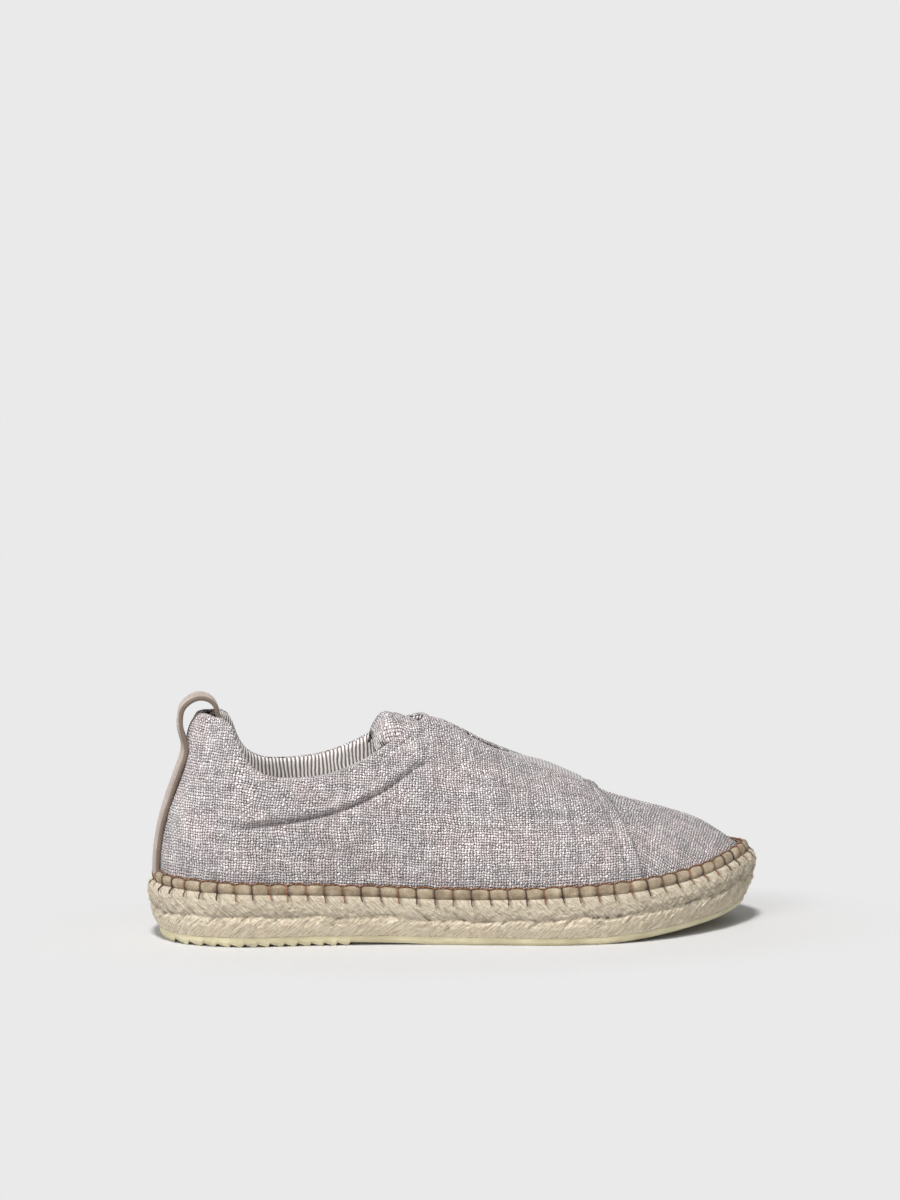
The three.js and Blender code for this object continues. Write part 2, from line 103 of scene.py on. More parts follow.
# ---------------------------------------------------------------------------------------- jute sole
# Two rows of plaited jute, coiled round the sole's edge and pressed into one block, with the braid's
# strands slanting to the toe above and below the groove where the rows meet.
def table(names, *rows):
    return dict(zip(names.split(), np.array(rows, float).T))


def column(rows, key, name, at):
    # A smooth value of one column between a table's rows: cubic spans with three-point slopes.
    places, values = rows[key], rows[name]
    steps = np.diff(places)
    rises = np.diff(values) / steps
    slopes = np.empty_like(values)
    slopes[0], slopes[-1] = rises[0], rises[-1]
    slopes[1:-1] = (rises[:-1] * steps[1:] + rises[1:] * steps[:-1]) / (steps[:-1] + steps[1:])
    at = np.asarray(at, float)
    i = np.clip(np.searchsorted(places, at, side="right") - 1, 0, len(places) - 2)
    u = np.clip((at - places[i]) / steps[i], 0, 1)
    ease = u * u * (3 - 2 * u)
    swell = slopes[i] * u * (1 - u) ** 2 - slopes[i + 1] * u * u * (1 - u)
    return values[i] * (1 - ease) + values[i + 1] * ease + swell * steps[i]


def smooth(low, high, value):
    u = np.clip((value - low) / (high - low), 0, 1)
    return u * u * (3 - 2 * u)


outline_points = table(
    "x y",
    (0, 0), (9, -23.5), (36, -37.5), (75, -38.5), (115, -40.5), (155, -46), (190, -50.5), (220, -48),
    (248, -37), (273, -18), (288, 8), (280, 31), (256, 47), (214, 53), (172, 47.5), (135, 39.5),
    (100, 36), (68, 37), (36, 37.5), (9, 23.5),
)
toe_row = 10
sole_heights = table(
    "x floor rubber jute",
    (0, 0, 4.7, 27), (22, 0, 4.7, 25.9), (50, 0, 4.7, 24.9), (100, 0, 4.6, 23.2), (135, 0, 4, 21.7),
    (165, 0, 3.6, 21.9), (195, 0, 3.6, 23), (207, 0.1, 3.7, 23.5), (220, 0.9, 4.4, 24.1),
    (240, 2.8, 6.1, 25.9), (256, 4.6, 7.7, 28.1), (270, 6.3, 9.3, 31.1), (280, 7.9, 10.9, 33),
    (288, 9.6, 12.6, 34),
)


def closed_curve(points, samples):
    # Centripetal Catmull-Rom spans through the points and round to the first.
    count = len(points)
    spans = []
    for i in range(count):
        before, start, end, after = points[i - 1], points[i], points[(i + 1) % count], points[(i + 2) % count]
        a = np.linalg.norm(start - before) ** 0.5
        b = np.linalg.norm(end - start) ** 0.5
        c = np.linalg.norm(after - end) ** 0.5
        leave = ((start - before) / a - (end - before) / (a + b) + (end - start) / b) * b
        arrive = ((end - start) / b - (after - start) / (b + c) + (after - end) / c) * b
        u = np.linspace(0, 1, samples, endpoint=False)[:, None]
        spans.append(start * (2 * u**3 - 3 * u**2 + 1) + leave * (u**3 - 2 * u**2 + u)
                     + end * (3 * u**2 - 2 * u**3) + arrive * (u**3 - u**2))
    return np.concatenate(spans)


outline_samples = 60
outline_curve = closed_curve(np.stack([outline_points["x"], outline_points["y"]], 1), outline_samples)
outline_loop = np.concatenate([outline_curve, outline_curve[:1]])
outline_lengths = np.concatenate([[0], np.cumsum(np.linalg.norm(np.diff(outline_loop, axis=0), axis=1))])
outline_round = outline_lengths[-1]
outline_toe = outline_lengths[toe_row * outline_samples]
outline_tangents = np.roll(outline_curve, -1, 0) - np.roll(outline_curve, 1, 0)
outline_tangents /= np.linalg.norm(outline_tangents, axis=1)[:, None]
outline_tangents = np.concatenate([outline_tangents, outline_tangents[:1]])
across_middle = (outline_curve[:, 1].min() + outline_curve[:, 1].max()) / 2


def length_at(turn):
    # Distance round the sole: turn is 0 at the heel's back, 1 at the toe tip and 2 back at the heel.
    turn = np.mod(turn, 2)
    return np.where(turn <= 1, turn * outline_toe, outline_toe + (turn - 1) * (outline_round - outline_toe))


def outline(turn, inset=0.0):
    length = np.mod(length_at(turn), outline_round)
    tangent = np.stack([np.interp(length, outline_lengths, outline_tangents[:, k]) for k in (0, 1)], -1)
    tangent /= np.linalg.norm(tangent, axis=-1)[..., None]
    place = np.stack([np.interp(length, outline_lengths, outline_loop[:, k]) for k in (0, 1)], -1)
    normal = np.stack([tangent[..., 1], -tangent[..., 0]], -1)
    return place - normal * np.asarray(inset)[..., None], normal


def sole(layer, x):
    return np.maximum(column(sole_heights, "x", layer, x), 0)


random = np.random.RandomState(7)
noise_lattice = random.rand(256, 256)


def noise(x, y):
    # Smooth random values from -1 to 1 that change over a distance of 1.
    i, j = np.floor(x).astype(int), np.floor(y).astype(int)
    u, v = x - i, y - j
    u, v = u * u * (3 - 2 * u), v * v * (3 - 2 * v)
    a, b = noise_lattice[i % 256, j % 256], noise_lattice[(i + 1) % 256, j % 256]
    c, d = noise_lattice[i % 256, (j + 1) % 256], noise_lattice[(i + 1) % 256, (j + 1) % 256]
    return 2 * (a * (1 - u) * (1 - v) + b * u * (1 - v) + c * (1 - u) * v + d * u * v) - 1


def grid_faces(rows, columns, start=0, closed=False, flip=False):
    # Quads of a grid of points, row after row. A closed grid joins its last column to its first.
    r, c = np.meshgrid(np.arange(rows - 1), np.arange(columns if closed else columns - 1), indexing="ij")
    r, c = r.ravel(), c.ravel()
    after = (c + 1) % columns
    below, above = r * columns, (r + 1) * columns
    quads = np.stack([below + c, below + after, above + after, above + c], 1)
    return start + (quads[:, ::-1] if flip else quads)


def piece(name, points, faces, threads=None, weld=0.0, **marks):
    # A mesh object in the shoe's frame from points in millimetres. threads are cloth or strand coordinates
    # in millimetres, and marks are values from 0 to 1 at each point.
    x, y, z = np.asarray(points, float).reshape(-1, 3).T
    placed = np.stack([x / 1000 + cad_low.x, (y - across_middle) / 1000, z / 1000], 1)
    mesh = bpy.data.meshes.new(name)
    mesh.vertices.add(len(placed))
    mesh.vertices.foreach_set("co", placed.ravel())
    mesh.loops.add(faces.size)
    mesh.loops.foreach_set("vertex_index", faces.ravel().astype(np.int32))
    mesh.polygons.add(len(faces))
    mesh.polygons.foreach_set("loop_start", np.arange(len(faces), dtype=np.int32) * faces.shape[1])
    mesh.polygons.foreach_set("use_smooth", np.ones(len(faces), bool))
    mesh.update(calc_edges=True)
    if threads is not None:
        layer = mesh.uv_layers.new(name="threads")
        layer.data.foreach_set("uv", np.asarray(threads, float).reshape(-1, 2)[faces.ravel()].ravel())
    for mark, values in marks.items():
        attribute = mesh.attributes.new(mark, "FLOAT", "POINT")
        attribute.data.foreach_set("value", np.asarray(values, float).ravel())
    if weld:
        body = bmesh.new()
        body.from_mesh(mesh)
        bmesh.ops.remove_doubles(body, verts=body.verts, dist=weld / 1000)
        bmesh.ops.dissolve_degenerate(body, edges=body.edges, dist=1e-6)
        body.to_mesh(mesh)
        body.free()
    made = bpy.data.objects.new(name, mesh)
    bpy.context.scene.collection.objects.link(made)
    return made


def node(tree, kind, inputs=None, **settings):
    made = tree.nodes.new(kind)
    for key, value in settings.items():
        setattr(made, key, value)
    for key, value in (inputs or {}).items():
        join(tree, value, made.inputs[key])
    return made


def join(tree, value, socket):
    if isinstance(value, bpy.types.NodeSocket):
        tree.links.new(value, socket)
    else:
        socket.default_value = value


def calc(tree, operation, *values, clamp=False):
    made = node(tree, "ShaderNodeMath", dict(enumerate(values)), operation=operation, use_clamp=clamp)
    return made.outputs[0]


def blend(tree, share, a, b, kind="MIX"):
    made = node(tree, "ShaderNodeMix", data_type="RGBA", blend_type=kind)
    join(tree, share, made.inputs[0])
    join(tree, a, made.inputs[6])
    join(tree, b, made.inputs[7])
    return made.outputs[2]


def between(tree, value, low, high, to_low=0.0, to_high=1.0):
    return node(tree, "ShaderNodeMapRange", {0: value, 1: low, 2: high, 3: to_low, 4: to_high}).outputs[0]


def texture(tree, coordinates, scale, detail=2.0, roughness=0.5, colour=False):
    made = node(tree, "ShaderNodeTexNoise", {"Vector": coordinates, "Scale": scale, "Detail": detail,
                                             "Roughness": roughness})
    return made.outputs["Color" if colour else "Fac"]


def place(tree, x, y, z=0.0):
    return node(tree, "ShaderNodeCombineXYZ", {0: x, 1: y, 2: z}).outputs[0]


def stretched(tree, x, x_scale, y, y_scale, z=0.0):
    # Texture coordinates scaled apart along x and y.
    return place(tree, calc(tree, "MULTIPLY", x, x_scale), calc(tree, "MULTIPLY", y, y_scale), z)


def ramp(tree, value, *stops):
    made = node(tree, "ShaderNodeValToRGB", {0: value})
    elements = made.color_ramp.elements
    while len(elements) < len(stops):
        elements.new(0.5)
    for element, (position, colour) in zip(elements, stops):
        element.position = position
        element.color = (*colour, 1)
    return made.outputs[0]


def dimmed(tree, tint, amount):
    # The colour times a value.
    grey = node(tree, "ShaderNodeCombineColor", {0: amount, 1: amount, 2: amount}).outputs[0]
    return blend(tree, 1.0, tint, grey, "MULTIPLY")


def new_group(name, inputs, outputs):
    # A node group and its two ends, from a kind and default for each input and a kind for each output.
    tree = bpy.data.node_groups.new(name, "ShaderNodeTree")
    kinds = {"vector": "NodeSocketVector", "value": "NodeSocketFloat", "colour": "NodeSocketColor"}
    for socket, (kind, default) in inputs.items():
        made = tree.interface.new_socket(name=socket, in_out="INPUT", socket_type=kinds[kind])
        if default is not None:
            made.default_value = default
    for socket, kind in outputs.items():
        tree.interface.new_socket(name=socket, in_out="OUTPUT", socket_type=kinds[kind])
    start = tree.nodes.new("NodeGroupInput").outputs
    end = tree.nodes.new("NodeGroupOutput").inputs
    return tree, start, end


def use(tree, group, inputs):
    made = node(tree, "ShaderNodeGroup", node_tree=group)
    for key, value in inputs.items():
        join(tree, value, made.inputs[key])
    return made.outputs


def material(name, roughness=0.9, specular=0.3, sheen=0.0):
    made = bpy.data.materials.new(name)
    made.use_nodes = True
    shader = made.node_tree.nodes["Principled BSDF"].inputs
    shader["Roughness"].default_value = roughness
    shader["Specular IOR Level"].default_value = specular
    shader["Sheen Weight"].default_value = sheen
    return made, made.node_tree, shader


def relief(tree, shader, height, depth):
    # Height is in shares of depth, and depth is in millimetres.
    bump = node(tree, "ShaderNodeBump", {"Height": height, "Distance": depth / 1000, "Strength": 1.0})
    tree.links.new(bump.outputs[0], shader["Normal"])


def threads_of(tree):
    return node(tree, "ShaderNodeUVMap", uv_map="threads").outputs[0]


def mark_of(tree, name):
    return node(tree, "ShaderNodeAttribute", attribute_name=name).outputs["Fac"]


# Soft dirt and fading that both cloth and jute show, in patches of a few centimetres.
patches, start, end = new_group(
    "soft patches",
    {"Threads": ("vector", None), "Size": ("value", 30.0), "Strength": ("value", 0.1)},
    {"Shade": "value"},
)
share = calc(patches, "DIVIDE", 1.0, start["Size"])
cloud = texture(patches, start["Threads"], share, 3.0)
centred = calc(patches, "MULTIPLY", calc(patches, "SUBTRACT", cloud, 0.5), start["Strength"])
join(patches, calc(patches, "ADD", 1.0, centred), end["Shade"])

braid_pitch = 15.0
braid_slant = 1.15
stitch_pitch = 8.3
stitch_count = int(round(outline_round / stitch_pitch))
jute_columns = 1400
jute_rows = 52
groove_depth, groove_width, groove_reach = 0.85, 0.9, 4.2
crease_depth, crease_width, row_shift = 0.5, 1.1, 3.5
braid_wander = 0.6
pull_depth, pull_width, pull_reach = 1.2, 0.8, 4.4
tuft_height, tuft_reach = 0.35, 4.5
jute_profile = table(
    "share inset",
    (0, 5.3), (0.1, 4.1), (0.25, 2.4), (0.39, 1.5), (0.5, 1.1), (0.6, 0.5), (0.74, 0), (0.88, 0.4),
    (0.95, 1.1), (1, 2.4),
)
groove_share = 0.49


def stitch_phase(length):
    # Distance to the nearest blanket stitch, measured round the sole.
    pitch = outline_round / stitch_count
    return (length / pitch + 0.5) % 1 * pitch - pitch / 2


def jute_surface(turn, share):
    # Points of the sole's side, strand coordinates measured from the braid's groove, and the shade painted
    # where they lie deep.
    length = length_at(turn)
    inset = column(jute_profile, "share", "inset", share)
    place_on, normal = outline(turn, inset)
    low = sole("rubber", place_on[..., 0]) + 0.05
    high = sole("jute", place_on[..., 0])
    tall = high - low
    up = low + share * tall
    wander = braid_wander * np.sin(2 * np.pi * length / (2 * braid_pitch))
    wander = wander + braid_wander * noise(length / 31, 5 + 0 * length)
    rise = (share - groove_share) * tall - wander
    side = np.sign(rise)
    slant = length + braid_slant * np.abs(rise) + side * row_shift
    lobe = (slant / braid_pitch + 0.12 * noise(length / 22, side * 3 + 9)) % 1
    crease = np.exp(-((np.minimum(lobe, 1 - lobe) * braid_pitch) / crease_width) ** 2)
    near_groove = np.exp(-((rise / groove_reach) ** 2))
    groove = np.exp(-((rise / groove_width) ** 2))
    strand = noise(slant / 0.9, rise / 7 + 40) * 0.55 + noise(slant / 0.45 + 9, rise / 4) * 0.45
    lumps = noise(length / 4.5, rise / 3.5 + 70)
    open_spot = groove * (0.45 + 0.55 * smooth(0.1, 0.6, noise(length / 7.5, 3 + 0 * length)))
    broken = smooth(-0.5, 0.35, noise(length / 3.2, side * 5 + rise / 3))
    depth = groove_depth * open_spot + crease_depth * crease * near_groove * broken + 0.1 * crease
    from_stitch = stitch_phase(length - 0.9 - 0.3 * (high - up))
    pull = np.exp(-((from_stitch / pull_width) ** 2)) * np.exp(-(((high - up) / pull_reach) ** 4))
    tuft = tuft_height * np.cos(2 * np.pi * stitch_phase(length) / stitch_pitch)
    tuft = tuft * np.exp(-((high - up) / tuft_reach) ** 2)
    depth = depth + pull_depth * pull + tuft
    tufts = noise(length / 1.3, rise / 1.1 + 30) * 0.2 + noise(length / 0.7 + 5, rise / 0.8) * 0.13
    out = 0.2 * strand + 0.3 * lumps + 1.5 * tufts - depth - 0.15
    points = np.concatenate([place_on + normal * out[..., None], up[..., None]], -1)
    speck = smooth(0.15, 0.6, noise(length / 2.3, side * 2 + 8))
    # Painted shade in the groove's open spots, the creases beside it and the stitch pulls.
    shade = np.clip(0.95 * open_spot * speck + 0.5 * crease * near_groove * broken + 0.6 * pull, 0, 1)
    return points, np.stack([length, rise], -1), shade


turns = np.arange(jute_columns) * 2 / jute_columns
shares = np.concatenate([np.linspace(0, 0.93, jute_rows), [0.955, 0.975, 0.99, 1.0]])
grid_turn, grid_share = np.meshgrid(turns, shares)
side_points, side_threads, side_shade = jute_surface(grid_turn, grid_share)
inner_place, _ = outline(turns, 9.0)
top_ring = np.concatenate([inner_place, (sole("jute", inner_place[:, 0]) - 0.1)[:, None]], 1)
bottom_ring = np.concatenate([inner_place, (sole("rubber", inner_place[:, 0]) + 0.3)[:, None]], 1)
rings = np.concatenate([bottom_ring[None], side_points, top_ring[None]])
ring_threads = np.concatenate([side_threads[:1] - [0, 4], side_threads, side_threads[-1:] + [0, 6]])
ring_shade = np.concatenate([side_shade[:1], side_shade, side_shade[-1:]])


def ladder(columns, start, flip=False):
    # Quads straight across the shoe between the lateral and medial halves of a ring of points.
    half = columns // 2
    i = np.arange(half)
    quads = start + np.stack([i, i + 1, (columns - i - 1) % columns, (columns - i) % columns], 1)
    return quads[:, ::-1] if flip else quads


jute_faces = np.concatenate([
    grid_faces(len(rings), jute_columns, closed=True),
    ladder(jute_columns, (len(rings) - 1) * jute_columns),
    ladder(jute_columns, 0, flip=True),
])
jute = piece("jute_braid", rings, jute_faces, ring_threads, shade=ring_shade)

jute_cloth, tree, shader = material("plaited jute", roughness=0.92, specular=0.15, sheen=0.15)
strands = node(tree, "ShaderNodeSeparateXYZ", {0: threads_of(tree)}).outputs
rise = calc(tree, "ABSOLUTE", strands[1])
row = calc(tree, "SIGN", strands[1])
slant = calc(tree, "ADD", strands[0], calc(tree, "MULTIPLY", rise, braid_slant))
fibre_place = stretched(tree, slant, 2.1, rise, 0.16, calc(tree, "MULTIPLY", row, 7.0))
fibres = texture(tree, fibre_place, 1.0, 5.0, 0.68)
speckle = texture(tree, place(tree, strands[0], strands[1]), 2.3, 4.0, 0.8)
tufts = texture(tree, stretched(tree, slant, 0.8, rise, 0.35), 1.0, 3.0, 0.6)
crossing = calc(tree, "SUBTRACT", strands[0], calc(tree, "MULTIPLY", rise, 0.5))
stray = texture(tree, stretched(tree, crossing, 1.9, rise, 0.3, 30.0), 1.0, 4.0, 0.7)
fibres = calc(tree, "ADD", calc(tree, "MULTIPLY", fibres, 0.8), calc(tree, "MULTIPLY", stray, 0.2))
wobble = texture(tree, stretched(tree, slant, 0.25, rise, 0.2, row), 1.0, 2.0, 0.6)
plies = calc(tree, "SINE", calc(tree, "ADD", calc(tree, "MULTIPLY", slant, 2 * math.pi / 2.1),
                                calc(tree, "MULTIPLY", wobble, 14.0)))
rough = between(tree, row, -1.0, 1.0, 0.28, 0.45)
tone = calc(tree, "ADD", calc(tree, "MULTIPLY", fibres, calc(tree, "SUBTRACT", 0.8, rough)),
            calc(tree, "MULTIPLY", speckle, rough))
tone = calc(tree, "ADD", tone, calc(tree, "MULTIPLY", plies, 0.016))
tone = calc(tree, "ADD", tone, calc(tree, "MULTIPLY", tufts, 0.2))
tint = ramp(tree, between(tree, tone, 0.385, 0.615), (0.0, (0.2, 0.15, 0.095)), (0.24, (0.5, 0.41, 0.29)),
            (0.55, (0.77, 0.67, 0.51)), (1.0, (1.0, 0.94, 0.8)))
brightness = use(tree, patches, {"Threads": threads_of(tree), "Size": 24.0, "Strength": 0.2})["Shade"]
# The lower row faces down, away from the lamps, so it is painted lighter than the upper row: painted light.
brightness = calc(tree, "MULTIPLY", brightness, between(tree, row, -1.0, 1.0, 1.32, 1.06))
tint = dimmed(tree, tint, brightness)
# The shade mark darkens the colour: painted shade.
tint = blend(tree, calc(tree, "MULTIPLY", mark_of(tree, "shade"), 0.85), tint, (0.13, 0.085, 0.05, 1))
join(tree, tint, shader["Base Color"])
relief(tree, shader, tone, 3.0)
jute.data.materials.append(jute_cloth)
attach(jute, "root")
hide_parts("jute_sole")


# ------------------------------------------------------------------------------------------ outsole
# Thin moulded rubber under the jute: saw-tooth ridges across the heel, a hollow under the arch and a
# finely pebbled tread, its smooth side band showing as a pale line below the braid.
ridge_start, ridge_end, ridge_pitch, ridge_depth, ridge_land = 12, 91, 6.1, 1.5, 1.4
arch_end, arch_rise = 126, 1.45
rubber_profile = table("share inset", (0, 7.2), (0.35, 5.9), (0.75, 5.5), (1, 5.5))
rubber_columns = 900
rubber_across = 28


def tread(x):
    # Height of the outsole's underside over the ground.
    tooth = (x - ridge_start) % ridge_pitch / (ridge_pitch - ridge_land)
    teeth = np.where((x > ridge_start) & (x < ridge_end), ridge_depth * np.clip(1 - tooth, 0, 1), 0)
    hollow = arch_rise * np.sqrt(np.clip((arch_end - x) / (arch_end - ridge_end), 0, 1))
    return sole("floor", x) + np.where((x >= ridge_end) & (x < arch_end), hollow, teeth)


turns = np.arange(rubber_columns) * 2 / rubber_columns
shares = np.concatenate([[0, 0.05, 0.12], np.linspace(0.2, 0.9, 9), [0.95, 1]])
grid_turn, grid_share = np.meshgrid(turns, shares)
place_on, _ = outline(grid_turn, column(rubber_profile, "share", "inset", grid_share))
low, high = tread(place_on[..., 0]), sole("rubber", place_on[..., 0])
wall_points = np.concatenate([place_on, (low + grid_share * (high - low))[..., None]], -1)
inner_place, _ = outline(turns, 10.0)
top_ring = np.concatenate([inner_place, sole("rubber", inner_place[:, 0])[:, None]], 1)
rings = np.concatenate([wall_points, top_ring[None]])
half_columns = rubber_columns // 2
i = np.arange(half_columns + 1)
bottom_ring = wall_points[0]
shares = np.linspace(0, 1, rubber_across + 1)[:, None, None]
bottom = bottom_ring[i] * (1 - shares) + bottom_ring[-i % rubber_columns] * shares
bottom[..., 2] = tread(bottom[..., 0])
rubber_points = np.concatenate([rings.reshape(-1, 3), bottom.reshape(-1, 3)])
rubber_faces = np.concatenate([
    grid_faces(len(rings), rubber_columns, closed=True),
    ladder(rubber_columns, (len(rings) - 1) * rubber_columns),
    grid_faces(len(bottom), half_columns + 1, start=rings.size // 3),
])
outsole = piece("outsole_rubber", rubber_points, rubber_faces, rubber_points[:, :2], weld=0.01)

rubber, tree, shader = material("pale rubber", roughness=0.5, specular=0.4)
shader["Subsurface Weight"].default_value = 0.12
shader["Subsurface Radius"].default_value = (0.004, 0.003, 0.0015)
solid = node(tree, "ShaderNodeTexCoord").outputs["Object"]
smear = texture(tree, solid, 90.0, 4.0, 0.6)
tint = ramp(tree, smear, (0.25, (0.52, 0.46, 0.3)), (0.55, (0.64, 0.58, 0.385)), (0.8, (0.74, 0.68, 0.48)))
join(tree, tint, shader["Base Color"])
pebbles = node(tree, "ShaderNodeTexVoronoi", {"Vector": solid, "Scale": 900.0}).outputs["Distance"]
relief(tree, shader, calc(tree, "ADD", pebbles, calc(tree, "MULTIPLY", smear, 1.5)), 0.08)
outsole.data.materials.append(rubber)
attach(outsole, "root")
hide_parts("outsole")

# -------------------------------------------------------------------------------------------- upper
# Linen sewn over a last. The vamp covers the toe, and the two quarters lap over it from behind with their
# front edges folded under. The quarters' top edges roll over foam at the collar and turn in at the throat.
form_rows = table(
    "foot x ridge half z lean rise swing pitch reach",
    (-0.07, 28.5, 0, -10, 102, -2, 27, -116, 69, 29), (0, 26, 0, 0, 101.8, -3, 28, -90, 68, 30),
    (0.07, 28.5, 0, 10, 102, -2, 27, -64, 69, 29), (0.12, 34, 0, 16.5, 101.2, -1, 26, -40, 73, 27),
    (0.15, 38, 0, 20.5, 97.5, -1, 24, -27, 76, 25), (0.175, 41.5, 0, 24, 90, -2, 22, -18, 78, 22),
    (0.2, 46, 0, 26.5, 82, -2, 20, -10, 79, 19), (0.23, 52.5, 0, 28.5, 77.5, -3, 18, -4, 80, 17),
    (0.28, 65, 0, 30, 75.8, -3, 17, 0, 80, 16), (0.33, 81, 0, 30.5, 77.3, -3, 18, 0, 79, 17),
    (0.38, 95, 0.5, 29, 82, -3, 19, 0, 74, 20), (0.43, 109, 1, 25.5, 89.5, -2, 20, 0, 65, 24),
    (0.48, 122, 1.5, 18.5, 96.3, -1, 20, 0, 48, 27), (0.525, 131, 2, 10, 99.8, 0, 20, 0, 25, 28),
    (0.55, 134, 2, 0, 101.3, 0, 20, 0, 0, 29), (0.62, 159, 3.5, 0, 88.6, 0, 20, 0, 0, 29),
    (0.7, 190, 6, 0, 75, 2, 18, 0, 0, 30), (0.78, 218, 8, 0, 62.6, 6, 15, 0, 0, 29),
    (0.86, 242, 9.5, 0, 55, 14, 10, 4, 0, 25), (0.93, 257, 10, 0, 50.3, 28, 6.5, 24, 8, 16),
    (1, 265, 9.5, 0, 46.8, 42, 4.5, 90, 32, 7), (1.07, 257, 10, 0, 50.3, 28, 6.5, 156, 8, 16),
)
throat_foot = 0.55
throat_line = {key: values[14:-1] for key, values in form_rows.items()}
throat = table(
    "x half",
    (105, 13), (118, 13), (140, 12.5), (165, 12), (185, 10.5), (200, 8), (208, 5), (211, 0),
)
upper_inset = 5.0
upper_gap = 0.3
wall = 2.0
collar_padding = 3.0


def foot_of(turn):
    # The same share of the way to the toe on either side.
    turn = np.mod(turn, 2)
    return np.where(turn <= 1, turn, 2 - turn)


def section(turn, v):
    # A point of the upper's outer face: v climbs from 0 at the sole to 1 at the collar or the ridge.
    turn, v = np.broadcast_arrays(np.mod(turn, 2.0), np.asarray(v, float))
    foot = foot_of(turn)
    side = np.where(turn <= 1, -1.0, 1.0)
    value = {name: column(form_rows, "foot", name, foot) for name in form_rows if name != "foot"}
    stand, normal = outline(turn, upper_inset)
    base = np.concatenate([stand, (sole("jute", stand[..., 0]) + upper_gap)[..., None]], -1)
    lean = np.radians(value["lean"])
    upward = np.stack([-normal[..., 0] * np.sin(lean), -normal[..., 1] * np.sin(lean), np.cos(lean)], -1)
    half = np.where(foot < throat_foot, np.maximum(value["half"], 0), 0)
    lift = np.where(side > 0, np.minimum(1, half / 20), 0)
    top = np.stack([value["x"], value["ridge"] + side * half, value["z"] + lift], -1)
    swing, pitch = np.radians(value["swing"]), np.radians(np.maximum(value["pitch"], 0))
    away = np.stack([np.sin(swing) * np.cos(pitch), side * np.cos(swing) * np.cos(pitch), -np.sin(pitch)], -1)
    first = base + upward * value["rise"][..., None]
    second = top + away * value["reach"][..., None]
    v = v[..., None]
    return (1 - v) ** 3 * base + 3 * (1 - v) ** 2 * v * first + 3 * (1 - v) * v * v * second + v**3 * top


def outward(turn, v):
    step = 0.003
    along = section(turn + step, v) - section(turn - step, v)
    up = section(turn, np.minimum(v + step, 1)) - section(turn, np.maximum(v - step, 0))
    normal = np.cross(along, up)
    return normal / np.maximum(np.linalg.norm(normal, axis=-1), 1e-9)[..., None]


def form(turn, v, offset=0.0):
    # A point of the upper's outer face, moved outward by offset.
    turn, v, offset = np.broadcast_arrays(*(np.asarray(part, float) for part in (turn, v, offset)))
    foot = foot_of(turn)
    nearly = 0.985
    own = outward(turn, np.where(foot >= throat_foot, np.minimum(v, nearly), v))
    shared = outward(foot, nearly + 0 * v) + outward(2 - foot, nearly + 0 * v)
    shared /= np.linalg.norm(shared, axis=-1)[..., None]
    share = np.where(foot >= throat_foot, smooth(0.93, 1, v), 0)[..., None]
    normal = own * (1 - share) + shared * share
    normal /= np.linalg.norm(normal, axis=-1)[..., None]
    return section(turn, v) + normal * offset[..., None]


def padding(foot, v):
    return collar_padding * smooth(0.6, 0.84, v) * (1 - smooth(0.42, 0.54, foot))


def distances(points, axis):
    # Distance covered along one axis of a grid of points, from its first row or column.
    steps = np.linalg.norm(np.diff(points, axis=axis), axis=-1)
    first = np.zeros_like(np.take(steps, [0], axis=axis))
    return np.concatenate([first, np.cumsum(steps, axis=axis)], axis=axis)


def near_line(line, x, z):
    # Distance from each point to a line of x and z, positive above it, and where along the line that is.
    best = np.full(x.shape, 1e9)
    signed, share = np.zeros(x.shape), np.zeros(x.shape)
    for k in range(len(line) - 1):
        (x0, z0), (x1, z1) = line[k], line[k + 1]
        dx, dz = x1 - x0, z1 - z0
        u = np.clip(((x - x0) * dx + (z - z0) * dz) / (dx * dx + dz * dz), 0, 1)
        gap = np.hypot(x - x0 - u * dx, z - z0 - u * dz)
        nearer = gap < best
        above = np.sign((z - z0) * dx - (x - x0) * dz)
        best = np.where(nearer, gap, best)
        signed = np.where(nearer, gap * above, signed)
        share = np.where(nearer, (k + u) / (len(line) - 1), share)
    return signed, share


def rounded_line(points, samples=24):
    # The same line with its corners rounded, so that a crease runs smoothly.
    points = np.array(points, float)
    at = np.linspace(0, len(points) - 1, samples)
    rows = {"at": np.arange(len(points), dtype=float), "x": points[:, 0], "z": points[:, 1]}
    return np.stack([column(rows, "at", "x", at), column(rows, "at", "z", at)], 1)


# Each crease runs along x and z on the quarter's side: a trough of some depth and width, with the cloth
# swelling above and below it.
collar_seam = rounded_line([
    (28, 50.5), (47, 55.5), (66, 58), (85, 62), (100, 67.5), (113, 74.5), (122, 80.5), (131, 84.5),
])
medial_forward, medial_lower = 3.5, 1.5
creases = (
    (collar_seam, 1.45, 1.1, 1.7, -0.2),
    (collar_seam, 0.8, 4.5, 0.4, 0.75),
    (rounded_line([(102, 83.5), (111, 87.5), (119, 91), (126, 93.5), (133, 95.5)]), 1.3, 2.0, 1.1, 0.0),
    (rounded_line([(118, 97), (123, 98.5), (130, 100)]), 0.5, 1.4, 0.7, 0.0),
    (rounded_line([(27, 52), (30, 45), (31, 36)]), 0.9, 4.0, 0.2, 0.0),
    (rounded_line([(58, 46), (62, 38), (64, 30)]), 0.45, 5.0, 0.2, 0.0),
    (rounded_line([(36, 72), (42, 66), (49, 63)]), 0.4, 3.0, 0.3, 0.0),
    (rounded_line([(150, 72), (156, 56), (158, 38)]), 0.35, 5.5, 0.3, 0.0),
    (rounded_line([(176, 66), (182, 50), (180, 34)]), 0.4, 5.0, 0.3, 0.0),
    (rounded_line([(112, 52), (116, 42), (122, 34)]), 0.3, 5.0, 0.3, 0.0),
)


def near_crease(line, points, side):
    # The medial quarter's creases lie a little farther forward and lower than the lateral one's.
    x = points[..., 0] - medial_forward * (side > 0)
    return near_line(line, x, points[..., 2] + medial_lower * (side > 0))


